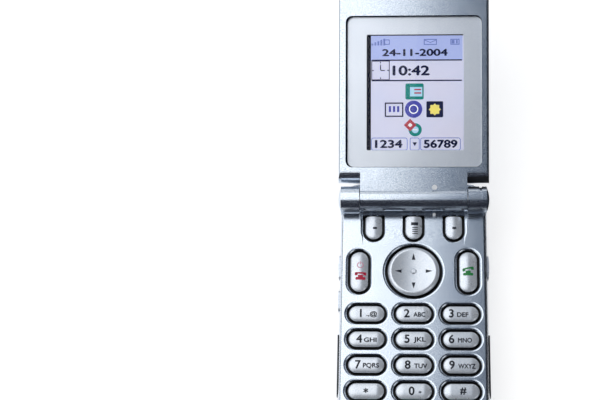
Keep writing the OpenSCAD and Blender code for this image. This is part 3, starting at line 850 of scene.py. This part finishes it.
@dataclass
class Keypad:
    """The keys of the keypad half: lacquered caps with tampo-printed figures and signs."""

    first_row: float = 37.1
    row_pitch: float = 8.33
    column_pitch: float = 14.55
    figure_height: float = 2.7
    sign_height: float = 2.3
    letter_height: float = 1.45
    plus_height: float = 0.9
    letters_drop: float = 0.42
    figure_bold: float = 0.1
    letter_bold: float = 0.07
    left_mark: Pair = (-12.2, -8.65)
    right_mark: Pair = (12.8, -8.65)
    menu_mark: Pair = (0.3, -8.3)
    end_mark: Pair = (-16.6, -24.9)
    power_mark: Pair = (-16.7, -21.2)
    send_mark: Pair = (17.0, -23.4)
    send_lift: float = 12.0  # degrees
    nav_y: float = -23.05
    arrow_reach: float = 4.5
    arrow_r: float = 0.68
    arrow_stretch: float = 2.1
    above: float = 16.0  # the height from which prints are laid down on the caps

    def legends(self) -> dict[str, tuple[str, float, str, float, float]]:
        """The figures and the standard letter groups, by key.

        Returns:
            For each key its figure, where that stands, its letters, where they start and how wide they run.
        """
        return {
            "key_1": ("1", -1.8, ".,@", 0.0, 3.2),
            "key_2": ("2", -2.1, "ABC", 0.0, 3.6),
            "key_3": ("3", -2.9, "DEF", -1.1, 3.4),
            "key_4": ("4", -2.2, "GHI", -0.7, 3.8),
            "key_5": ("5", -2.0, "JKL", 0.1, 3.6),
            "key_6": ("6", -2.9, "MNO", -0.9, 4.2),
            "key_7": ("7", -2.5, "PQRS", -0.9, 4.8),
            "key_8": ("8", -1.8, "TUV", 0.2, 3.9),
            "key_9": ("9", -2.85, "WXYZ", -0.9, 5.2),
            "key_star": ("*", 0.0, "", 0.0, 0.0),
            "key_0": ("0", -0.6, "+", 1.5, 0.9),
            "key_hash": ("#", 0.5, "", 0.0, 0.0),
        }

    def over(self, x: float, y: float) -> Matrix:
        """A place above the keys at x, y in millimetres, from which a print is laid down."""
        return Matrix.Translation((x * MM, y * MM, self.above * MM)) @ MILLIMETRES

    def number_keys(self) -> None:
        """Prints the twelve number keys."""
        for i, (key, (figure, at, letters, start, width)) in enumerate(self.legends().items()):
            drawn = Print(f"{key}_legend", Coat.LEGEND)
            height = self.figure_height if letters else self.sign_height
            drawn.text(figure, at, 0, height, bold=self.figure_bold)
            if letters:
                height = self.plus_height if letters == "+" else self.letter_height
                middle = start + width / 2
                drawn.text(letters, middle, -self.letters_drop, height, bold=self.letter_bold, width=width)
            x = (i % 3 - 1) * self.column_pitch
            y = -self.first_row - i // 3 * self.row_pitch
            drawn.lay(self.over(x, y), key, onto=NODES[key])

    def soft_keys(self) -> None:
        """Prints a short bar on the outer soft keys and a list on the middle one."""
        for key, mark in (("softkey_left", self.left_mark), ("softkey_right", self.right_mark)):
            drawn = Print(f"{key}_mark", Coat.LEGEND)
            drawn.bar(0, 0, 1.25, 0.75, 0.2)
            drawn.lay(self.over(*mark), key, onto=NODES[key])
        drawn = Print("menu_key_mark", Coat.LEGEND)
        drawn.bar(0, 1.1, 2.2, 1.0)
        line_pitch = 0.68
        for i in range(4):
            drawn.bar(0.15, -0.15 - line_pitch * i, 1.75, 0.28)
        drawn.lay(self.over(*self.menu_mark), "menu_key", onto=NODES["menu_key"])

    def handset(self, drawn: Print, lifted: float) -> Print:
        """Draws a generic telephone: a handset over its rest.

        Args:
            drawn: the print to draw on.
            lifted: how far the handset is tilted off its rest, in degrees.

        Returns:
            The print.
        """
        lean = math.radians(lifted)
        rise = lifted * 0.015
        ear = 1.35
        drawn.bar(0, 1.05 + rise, 3.4, 0.55, 0.2, turn=lifted)
        for side in (-1, 1):
            x = side * ear * math.cos(lean)
            y = 0.7 + rise + side * ear * math.sin(lean)
            drawn.bar(x, y, 0.9, 0.85, 0.2, turn=lifted)
        drawn.bar(0, 0.0, 1.6, 0.85, 0.15).bar(0, -0.75, 3.1, 0.9, 0.25)
        return drawn

    def call_keys(self) -> None:
        """Prints the end key and the send key."""
        end = self.handset(Print("end_key_mark", Coat.RED_MARK), 0.0)
        end.lay(self.over(*self.end_mark), "end_key", onto=NODES["end_key"])
        power = Print("end_key_power_mark", Coat.PINK_MARK)
        power.ring(0, 0, 1.05, 0.3, opening=50).bar(0, 0.75, 0.3, 1.0)
        power.lay(self.over(*self.power_mark), "end_key", onto=NODES["end_key"])
        send = self.handset(Print("send_key_mark", Coat.GREEN_MARK), self.send_lift)
        send.lay(self.over(*self.send_mark), "send_key", onto=NODES["send_key"])

    def navigation(self) -> None:
        """Prints four arrows on the navigation key."""
        drawn = Print("nav_key_arrows", Coat.LEGEND)
        for turn in range(0, 360, 90):
            angle = math.radians(turn)
            x, y = self.arrow_reach * math.cos(angle), self.arrow_reach * math.sin(angle)
            drawn.disc(x, y, self.arrow_r, sides=3, turn=turn - 90, stretch=self.arrow_stretch)
        drawn.lay(self.over(0, self.nav_y), "nav_key", onto=NODES["nav_key"])

    def build(self) -> None:
        """Prints all keys."""
        self.number_keys()
        self.soft_keys()
        self.call_keys()
        self.navigation()


@dataclass
class Display:
    """The main display's lens, print, seat and painted shadow strip, and what both displays show, on the lid."""

    pocket_y: float = 34.4
    pocket_w: float = 43.06
    pocket_l: float = 48.26
    pocket_r: float = 2.1
    lens_y: float = 34.33
    lens_x: float = 0.27
    lens_w: float = 42.45
    lens_l: float = 47.75
    lens_r: float = 1.95
    lens_top: float = 1.5
    lens_t: float = 0.94
    edge_r: float = 0.22
    corner_faces: int = 8
    edge_faces: int = 3
    seat_play: float = 0.02
    seat_drop: float = 0.3
    print_margin: float = 0.12
    print_gap: float = 0.05
    print_t: float = 0.03
    window_r: float = 0.4
    # The black strip of painted shadow along the window's left and top: its width, its height and its rise above
    # the panel
    shadow_strip_left: float = 1.35
    shadow_strip_top: float = 0.35
    shadow_strip_rise: float = 0.07
    window_w: float = 30.7
    window_l: float = 36.9
    window_dx: float = 0.18
    window_dy: float = -0.1
    picture_dx: float = 0.1
    picture_dy: float = -0.55
    panel_gap: float = 0.01
    layer_pitch: float = 0.006
    layer_t: float = 0.004
    outer_y: float = 40.0

    def lid_place(self, x: float, y: float, z: float) -> Matrix:
        """A place on the lid, in the lid's own millimetres."""
        return LID_PLACE @ Matrix.Translation((x, y, z))

    def lens(self) -> None:
        """Makes the lens: a plate with round corners and a polished edge."""
        select_only()
        bpy.ops.mesh.primitive_cube_add(size=1)
        piece = bpy.context.object
        piece.scale = (self.lens_w, self.lens_l, self.lens_t)
        bpy.ops.object.transform_apply(scale=True)
        half = self.lens_t / 2
        near_top = half - 1e-4
        self.round_edges(piece, lambda a, b: abs(a.z - b.z) > half, self.lens_r, self.corner_faces)
        self.round_edges(piece, lambda a, b: min(a.z, b.z) > near_top, self.edge_r, self.edge_faces)
        piece.name = piece.data.name = "display_lens"
        settle(piece, self.lid_place(self.lens_x, self.lens_y, self.lens_top - self.lens_t / 2))
        dress(piece, Coat.LENS)
        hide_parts("main_lens")
        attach(piece, "lid")
        LOG.info("lens")

    def round_edges(
        self, piece: Object, wanted: Callable[[Vector, Vector], bool], radius: float, segments: int
    ) -> None:
        """Rounds the edges of a piece that a test picks.

        Args:
            piece: the mesh object.
            wanted: a test of an edge's two ends.
            radius: the radius of the round.
            segments: how many faces the round has.
        """
        select_only(piece)
        bpy.ops.object.mode_set(mode="EDIT")
        bpy.ops.mesh.select_mode(type="EDGE")
        bpy.ops.mesh.select_all(action="DESELECT")
        bpy.ops.object.mode_set(mode="OBJECT")
        ends = piece.data.vertices
        for edge in piece.data.edges:
            edge.select = wanted(*(ends[v].co for v in edge.vertices))
        bpy.ops.object.mode_set(mode="EDIT")
        bpy.ops.mesh.bevel(offset=radius, segments=segments, profile=0.5)
        bpy.ops.object.mode_set(mode="OBJECT")

    def loop(self, drawn: Print, z: float, thickness: float) -> None:
        """Makes a flat ring on the lid out of two round-cornered bars, by bridging their outlines.

        Args:
            drawn: the print that holds the outer and the inner bar.
            z: the height of its underside, in the lid's millimetres.
            thickness: its thickness, in millimetres.
        """
        piece = drawn.joined()
        select_only(piece)
        bpy.ops.object.mode_set(mode="EDIT")
        bpy.ops.mesh.select_mode(type="EDGE")
        bpy.ops.mesh.select_all(action="SELECT")
        bpy.ops.mesh.delete(type="ONLY_FACE")
        bpy.ops.mesh.select_all(action="SELECT")
        bpy.ops.mesh.bridge_edge_loops()
        bpy.ops.mesh.select_all(action="SELECT")
        bpy.ops.mesh.normals_make_consistent(inside=False)
        bpy.ops.object.mode_set(mode="OBJECT")
        if piece.data.polygons[0].normal.z < 0:
            piece.data.flip_normals()
        settle(piece, self.lid_place(0, 0, z))
        apply_modifier(piece, "SOLIDIFY", thickness=thickness * MM, offset=1.0)
        dress(piece, drawn.coat)
        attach(piece, "lid")
        LOG.info("%s", drawn.name)

    def window_print(self) -> None:
        """Makes the silver print round the window, behind the lens."""
        w, h = self.lens_w - self.print_margin, self.lens_l - self.print_margin
        x, y = self.lens_x + self.window_dx, self.lens_y + self.window_dy
        drawn = Print("window_print", Coat.WINDOW_PRINT)
        drawn.bar(self.lens_x, self.lens_y, w, h, self.lens_r)
        drawn.bar(x, y, self.window_w, self.window_l, self.window_r)
        self.loop(drawn, self.lens_top - self.lens_t - self.print_gap, self.print_t)

    def shadow_strip_and_seat(self) -> None:
        """Lays a black strip along the window's left and top as painted shadow, for the shade that the print's
        edge casts on the panel, and the lens's black seat, which also stands for shade in the pocket's gap.
        """
        painted_shadow = Print("painted_panel_shadow", Coat.GASKET)
        painted_shadow.bar((self.shadow_strip_left - self.window_w) / 2, 0, self.shadow_strip_left, self.window_l)
        painted_shadow.bar(0, (self.window_l - self.shadow_strip_top) / 2, self.window_w, self.shadow_strip_top)
        top = lid_top("main_lcd") + self.shadow_strip_rise
        x, y = self.lens_x + self.window_dx, self.lens_y + self.window_dy
        painted_shadow.lay(self.lid_place(x, y, top), "lid", thickness=0.02)
        # The lens's black seat, partly painted shade: it shows as the dark line in the pocket's gap, widest on the
        # left
        seat_and_shade = Print("lens_seat_and_shade", Coat.GASKET)
        seat_and_shade.bar(0, self.pocket_y, self.pocket_w, self.pocket_l, self.pocket_r)
        w, h = self.lens_w + self.seat_play, self.lens_l + self.seat_play
        seat_and_shade.bar(self.lens_x, self.lens_y, w, h, self.lens_r)
        self.loop(seat_and_shade, self.lens_top - self.lens_t, self.lens_t - self.seat_drop)

    def prints(self) -> list[Print]:
        """Draws what the panel shows, one print for each colour: plain figures, signs and bars.

        Returns:
            The prints, from the lowest to the highest.
        """
        status_y, tab_y, figure_y = 16.5, -16.05, -16.0
        clock_x, clock_y = -10.6, 7.45
        wheel_x, wheel_y, star_x, star_y = -0.1, -4.95, 6.6, -5.05
        kite_x, kite_y, knot_x, knot_y = -1.2, -10.0, 0.4, -11.5
        band = Print("display_band", Coat.PIXEL_LAVENDER)
        band.bar(0.6, 14.6, 29.6, 8.0)
        blue = Print("display_status", Coat.PIXEL_BLUE)
        for i in range(5):
            blue.bar(-13.2 + 0.95 * i, 15.75 + 0.2 * i, 0.6, 0.6 + 0.4 * i)
        blue.frame(-8.6, status_y, 1.9, 1.7, 0.3)
        blue.frame(5.2, status_y, 4.2, 1.9, 0.32)
        blue.bar(4.3, 16.7, 2.2, 0.25, turn=-24).bar(6.1, 16.7, 2.2, 0.25, turn=24)
        blue.frame(13.0, status_y, 2.9, 1.9, 0.3).bar(12.4, status_y, 0.9, 1.1).bar(13.6, status_y, 0.5, 1.1)
        dark = Print("display_figures", Coat.PIXEL_NAVY)
        dark.text("24-11-2004", 0.3, 13.15, 2.2, bold=0.1, width=20.5)
        dark.bar(0.9, 10.7, 28.6, 0.42).bar(0.9, 4.2, 28.6, 0.42)
        dark.text("10:42", -0.9, 7.4, 3.1, bold=0.13, width=11.4)
        dark.frame(clock_x, clock_y, 5.8, 6.2, 0.24)
        dark.bar(clock_x, 8.4, 0.32, 1.7).bar(-9.9, clock_y, 1.3, 0.32)
        for turn in range(0, 360, 90):
            lean = math.radians(turn)
            dark.bar(clock_x + 2.4 * math.cos(lean), clock_y + 2.5 * math.sin(lean), 0.5, 0.3, turn=turn)
        dark.text("1234", -8.0, figure_y, 2.5, bold=0.13, width=8.4)
        dark.text("56789", 8.4, figure_y, 2.5, bold=0.13, width=10.4)
        dark.disc(0.25, -15.9, 0.8, sides=3, turn=180)
        dark.frame(-6.3, -5.1, 5.9, 4.6, 0.42).bar(star_x, -5.0, 5.3, 5.1, 0.3)
        lines = Print("display_tabs", Coat.PIXEL_BLUE)
        lines.frame(-7.8, tab_y, 11.6, 4.1, 0.22, 0.8).frame(8.4, tab_y, 12.8, 4.1, 0.22, 0.8)
        lines.frame(0.25, tab_y, 3.1, 4.1, 0.22, 0.6)
        teal = Print("display_book", Coat.PIXEL_TEAL)
        teal.bar(0.2, 0.7, 5.8, 5.1, 0.5).disc(knot_x, knot_y, 2.1)
        sky = Print("display_pages", Coat.PIXEL_SKY)
        sky.bar(0.7, 0.6, 3.9, 3.0).disc(knot_x, knot_y, 1.1)
        violet = Print("display_wheel", Coat.PIXEL_VIOLET)
        violet.disc(wheel_x, wheel_y, 2.75)
        for i in range(3):
            violet.bar(-7.6 + 1.3 * i, -4.9, 0.7, 1.9)
        yellow = Print("display_star", Coat.PIXEL_YELLOW)
        yellow.disc(star_x, star_y, 2.0, sides=4, turn=45).disc(star_x, star_y, 1.9, sides=4)
        red = Print("display_kite", Coat.PIXEL_RED)
        red.disc(kite_x, kite_y, 2.0, sides=4).bar(1.2, 1.3, 2.2, 0.45).bar(1.2, 0.2, 2.2, 0.45)
        white = Print("display_highlights", Coat.PIXEL_WHITE)
        white.ring(wheel_x, wheel_y, 1.5, 0.35).disc(kite_x, kite_y, 0.7, sides=4)
        white.bar(knot_x, knot_y, 1.3, 0.35)
        return [band, lines, blue, teal, sky, violet, dark, yellow, red, white]

    def picture(self) -> None:
        """Lays the panel's picture on its glass, each colour a little above the one below."""
        panel_top = lid_top("main_lcd")
        for i, drawn in enumerate(self.prints()):
            height = panel_top + self.panel_gap + self.layer_pitch * i
            place = self.lid_place(self.picture_dx, self.lens_y + self.picture_dy, height)
            piece = drawn.lay(place, "lid", thickness=self.layer_t)

    def outer_display(self) -> None:
        """Lays the clock on the outer display's lens, to be read with the lid closed, hinge at the top."""
        behind = lid_top("sub_display_lens", lowest=True)
        place = self.lid_place(0, self.outer_y, behind) @ Matrix.Rotation(math.pi, 4, "X")
        clock = Print("outer_display_clock", Coat.PIXEL_SKY)
        clock.text("10:42", -2.4, -0.2, 4.4, bold=0.12, width=11.6)
        for i in range(4):
            clock.bar(6.3 + 1.0 * i, -2.0 + 0.3 * i, 0.65, 0.9 + 0.6 * i)
        clock.frame(7.8, 2.3, 3.6, 1.7, 0.3).bar(7.2, 2.3, 1.4, 0.8)
        clock.lay(place, "lid", thickness=0.01)

    def build(self) -> None:
        """Makes the lens, its print, its seat, the painted shadow strip on the panel, and the pictures of both
        displays.
        """
        self.lens()
        self.window_print()
        self.shadow_strip_and_seat()
        self.picture()
        self.outer_display()


def lid_top(node: str, lowest: bool = False) -> float:
    """The height of a lid node's highest face, or of its lowest.

    Args:
        node: the CAD node's name.
        lowest: whether the lowest face is meant.

    Returns:
        The height above the hinge's axis, in the lid's own millimetres.
    """
    back = LID_PLACE.inverted()
    heights = [(back @ v.co).z for v in NODES[node].data.vertices]
    return min(heights) if lowest else max(heights)


@dataclass
class Shells:
    """The CAD pieces, each dressed by its material slot or by an entry of its own."""

    # by material slot
    coats: dict[str, Coat] = field(
        default_factory=lambda: {
            "silver_shell": Coat.SHELL,
            "key_silver": Coat.KEYCAP,
            "rubber": Coat.RUBBER,
            "silicone": Coat.SILICONE,
            "lens": Coat.LENS,
            "dark_lens": Coat.SMOKED_LENS,
            "display": Coat.PANEL,
            "steel": Coat.STEEL,
            "grille_metal": Coat.GRILLE,
            "battery_pack": Coat.CELL,
            "contact_gold": Coat.GOLD,
            "circuit_board": Coat.BOARD,
            "flex_film": Coat.FLEX,
        }
    )
    # by node, where a node's finish isn't its slot's
    own: dict[str, Coat] = field(
        default_factory=lambda: {
            "bottom_connector": Coat.DARK_NYLON,
            "sub_lcd": Coat.DARK_PANEL,
            "lid_bumpers": Coat.SILICONE,
            "base_bumper": Coat.SILICONE,
        }
    )
    lacquer_and_shade_end: float = 13.68  # height above the table below which faces are black: where the spray stops reaching in, and, on the openings' lip, painted shade
    wells_half_w: float = 21.6
    wells_low_y: float = -71.0
    wells_high_y: float = -4.7
    lid_edge: float = 1.75
    gap_x: float = 13.4
    gap_low_y: float = 5.2
    gap_high_y: float = 7.35

    def in_bare_and_shaded_wells(self, p: Vector) -> bool:
        """Whether a point of the keypad face lies on the walls of the key openings or on its inside, which are
        black: bare plastic, and painted shade on the openings' lip.
        """
        across = abs(p.x) < self.wells_half_w
        return across and self.wells_low_y < p.y < self.wells_high_y and p.z < self.lacquer_and_shade_end

    def in_painted_shadow_gap(self, p: Vector) -> bool:
        """Whether a point of the lid lies on the end wall right of the tongue, below its face, which is painted
        black as shade; the left end wall keeps its lacquer.
        """
        x, y, z = LID_PLACE.inverted() @ (p * MM)
        return x > self.gap_x and self.gap_low_y < y < self.gap_high_y and z < self.lid_edge

    def under_cap_bare_and_shaded(self, p: Vector) -> bool:
        """Whether a point of a key lies below the lacquered part of its cap, where it is black: bare plastic, and
        partly painted shade in the gap round the cap.
        """
        return p.z < self.lacquer_and_shade_end

    def build(self) -> None:
        """Dresses every CAD node by its material slot, or by its own entry."""
        for row in frame["record"]["subparts"]:
            node = row["node"]
            coat = self.own.get(node) or self.coats[row["material_slot"]]
            # The tests pick black faces: bare plastic and painted shade in the key wells and under the caps,
            # painted shade alone on the lid's end wall
            bare_and_shaded = None
            if node == "base_front_housing":
                bare_and_shaded = self.in_bare_and_shaded_wells
            elif node == "lid_front_housing":
                bare_and_shaded = self.in_painted_shadow_gap
            elif coat is Coat.KEYCAP and not node.startswith(("volume", "voice")):
                bare_and_shaded = self.under_cap_bare_and_shaded
            dress(NODES[node], coat, bare_and_shaded)
            LOG.info("%s in %s", node, coat.value.name)


# ---------- Studio ----------


@dataclass
class Studio:
    """A white floor, a softbox above on the left, tinted cards round the phone, and the camera."""

    image_w: int = 600  # pixels
    phone_x: float = 413.6  # the phone's middle line in the picture, in pixels
    focal_px: float = 1764.0
    distance: float = 0.56  # metres
    elevation: float = 67.0  # degrees
    fill: float = 0.55
    floor_size: float = 6.0
    floor_drop: float = 0.00002
    floor_glow: float = 0.55
    lamp_x: float = -0.1445
    lamp_y: float = 0.072
    lamp_z: float = 0.27
    lamp_size: Pair = (0.3, 0.336)
    lamp_watts: float = 0.265
    lamp_turn: float = -3.0  # degrees

    def seen(self, tree: NodeTree) -> NodeSocket:
        """Whether a ray comes from the camera, from gloss or through glass.

        Args:
            tree: the material's or world's node tree.

        Returns:
            A socket that is 1 for such a ray.
        """
        path = add_node(tree, "ShaderNodeLightPath")
        direct = add_node(
            tree,
            "ShaderNodeMath",
            {0: path.outputs["Is Camera Ray"], 1: path.outputs["Is Glossy Ray"]},
            operation="MAXIMUM",
        )
        made = add_node(
            tree,
            "ShaderNodeMath",
            {0: direct.outputs[0], 1: path.outputs["Is Transmission Ray"]},
            operation="MAXIMUM",
        )
        return made.outputs[0]

    def world(self) -> None:
        """Makes the surroundings: plain white to the eye, and dimmer as a light."""
        world = bpy.data.worlds.new("studio")
        bpy.context.scene.world = world
        world.use_nodes = True
        tree = world.node_tree
        ground = tree.nodes["Background"]
        ground.inputs["Color"].default_value = linear("#FFFFFF")
        level = add_node(tree, "ShaderNodeMapRange", {"Value": self.seen(tree), "To Min": self.fill})
        tree.links.new(level.outputs[0], ground.inputs["Strength"])

    def floor(self) -> None:
        """Makes the white floor, which keeps the phone's shadow."""
        select_only()
        bpy.ops.mesh.primitive_plane_add(size=self.floor_size, location=(0, 0, -self.floor_drop))
        floor = bpy.context.object
        floor.name = "floor"
        material = bpy.data.materials.new("white_paper")
        material.use_nodes = True
        tree = material.node_tree
        surface = tree.nodes["Principled BSDF"]
        surface.inputs["Base Color"].default_value = linear("#E8E9EB")
        surface.inputs["Roughness"].default_value = 0.9
        surface.inputs["Emission Color"].default_value = linear("#FFFFFF")
        glow = add_node(
            tree, "ShaderNodeMath", {0: self.seen(tree), 1: self.floor_glow}, operation="MULTIPLY"
        )
        tree.links.new(glow.outputs[0], surface.inputs["Emission Strength"])
        floor.data.materials.append(material)

    def card(self, name: str, place: Triple, size: Pair, turn: Triple, colour: str) -> None:
        """Hangs a tinted card beside the phone, which shows in its gloss and not to the camera.

        Args:
            name: the card's name.
            place: its centre, in metres.
            size: its width and height, in metres.
            turn: its turns about X, Y and Z, in degrees.
            colour: its hex colour.
        """
        select_only()
        bpy.ops.mesh.primitive_plane_add(size=1, location=place, rotation=[math.radians(t) for t in turn])
        card = bpy.context.object
        card.name = name
        card.scale = (*size, 1)
        bpy.ops.object.transform_apply(location=True, rotation=True, scale=True)
        material = bpy.data.materials.new(f"{name}_board")
        material.use_nodes = True
        surface = material.node_tree.nodes["Principled BSDF"]
        surface.inputs["Base Color"].default_value = linear("#000000")
        surface.inputs["Roughness"].default_value = 1.0
        surface.inputs["Specular IOR Level"].default_value = 0.0
        surface.inputs["Emission Color"].default_value = linear(colour)
        surface.inputs["Emission Strength"].default_value = 1.0
        card.data.materials.append(material)
        card.visible_camera = card.visible_diffuse = card.visible_shadow = False

    def softbox(self, name: str, place: Triple, aim: Triple, size: Pair, watts: float, turn: float) -> None:
        """Hangs a softbox.

        Args:
            name: the lamp's name.
            place: where it hangs, in metres.
            aim: the point that it faces, in metres.
            size: its width and height, in metres.
            watts: its power.
            turn: how far it is turned about the line to its aim, in degrees.
        """
        data = bpy.data.lights.new(name, "AREA")
        data.shape = "RECTANGLE"
        data.size, data.size_y = size
        data.energy = watts
        lamp = bpy.data.objects.new(name, data)
        bpy.context.scene.collection.objects.link(lamp)
        lamp.location = place
        facing = (Vector(aim) - Vector(place)).to_track_quat("-Z", "Y").to_matrix()
        lamp.rotation_euler = (facing @ Matrix.Rotation(math.radians(turn), 3, "Z")).to_euler()
        lamp.visible_camera = False

    def camera(self) -> None:
        """Sets the camera above the keypad end, turned aside so that the phone is right of the middle."""
        data = bpy.data.cameras.new("camera")
        data.sensor_width = 36.0
        data.lens = self.focal_px * data.sensor_width / self.image_w
        data.clip_start, data.clip_end = 0.05, 20.0
        camera = bpy.data.objects.new("camera", data)
        bpy.context.scene.collection.objects.link(camera)
        up = math.radians(self.elevation)
        back = Vector((0, -math.cos(up), math.sin(up)))
        hinge = Vector((0, 0, HINGE_Z * MM))
        aside = math.atan((self.phone_x - self.image_w / 2) / self.focal_px)
        turned = (-back).to_track_quat("-Z", "Y").to_matrix().to_4x4() @ Matrix.Rotation(aside, 4, "Y")
        camera.matrix_world = Matrix.Translation(hinge + back * self.distance) @ turned
        bpy.context.scene.camera = camera

    def build(self) -> None:
        """Sets up the studio."""
        bpy.context.scene.view_settings.view_transform = "Standard"
        self.world()
        self.floor()
        beside = (0, 0, self.lamp_turn)  # the two cards above right lie edge to edge with the lamp
        self.card("card_above_right", (0.027, 0.195, self.lamp_z), (0.03, 0.6), beside, "#667B94")
        self.card("card_high_right", (0.1147, 0.195, self.lamp_z), (0.145, 0.6), beside, "#10182A")
        self.card("card_right", (0.17, 0.035, 0.13), (0.27, 0.28), (0, 90, 0), "#070B18")
        # A dark card on the floor right of the phone, seen only in gloss: painted shadow for the shade on the
        # floor there, which the right side wall reflects
        self.card("painted_shade_card_right_foot", (0.07, 0.0, 0.0003), (0.085, 0.3), (0, 0, 0), "#0C111E")
        self.card("card_front", (0.0, -0.24, 0.13), (0.34, 0.27), (90, 0, 0), "#060C20")
        self.card("card_above_front", (0.0, -0.168, 0.268), (0.34, 0.144), (0, 0, 0), "#0C152C")
        self.card("card_left", (-0.3, 0.05, 0.05), (0.1, 0.9), (0, 90, 0), "#39465A")
        self.card("card_back", (0.0, 0.36, 0.05), (0.9, 0.1), (90, 0, 0), "#39465A")
        place, aim = (self.lamp_x, self.lamp_y, self.lamp_z), (self.lamp_x, self.lamp_y, 0)
        self.softbox("softbox_above_left", place, aim, self.lamp_size, self.lamp_watts, self.lamp_turn)
        self.camera()


def main() -> None:
    """Builds the studio and the phone."""
    logging.basicConfig(level=logging.INFO, format="%(name)s: %(message)s")
    for assembly in (Studio(), Shells(), Keypad(), Display()):
        assembly.build()
        LOG.info("%s built", type(assembly).__name__)


if __name__ == "__main__":
    main()
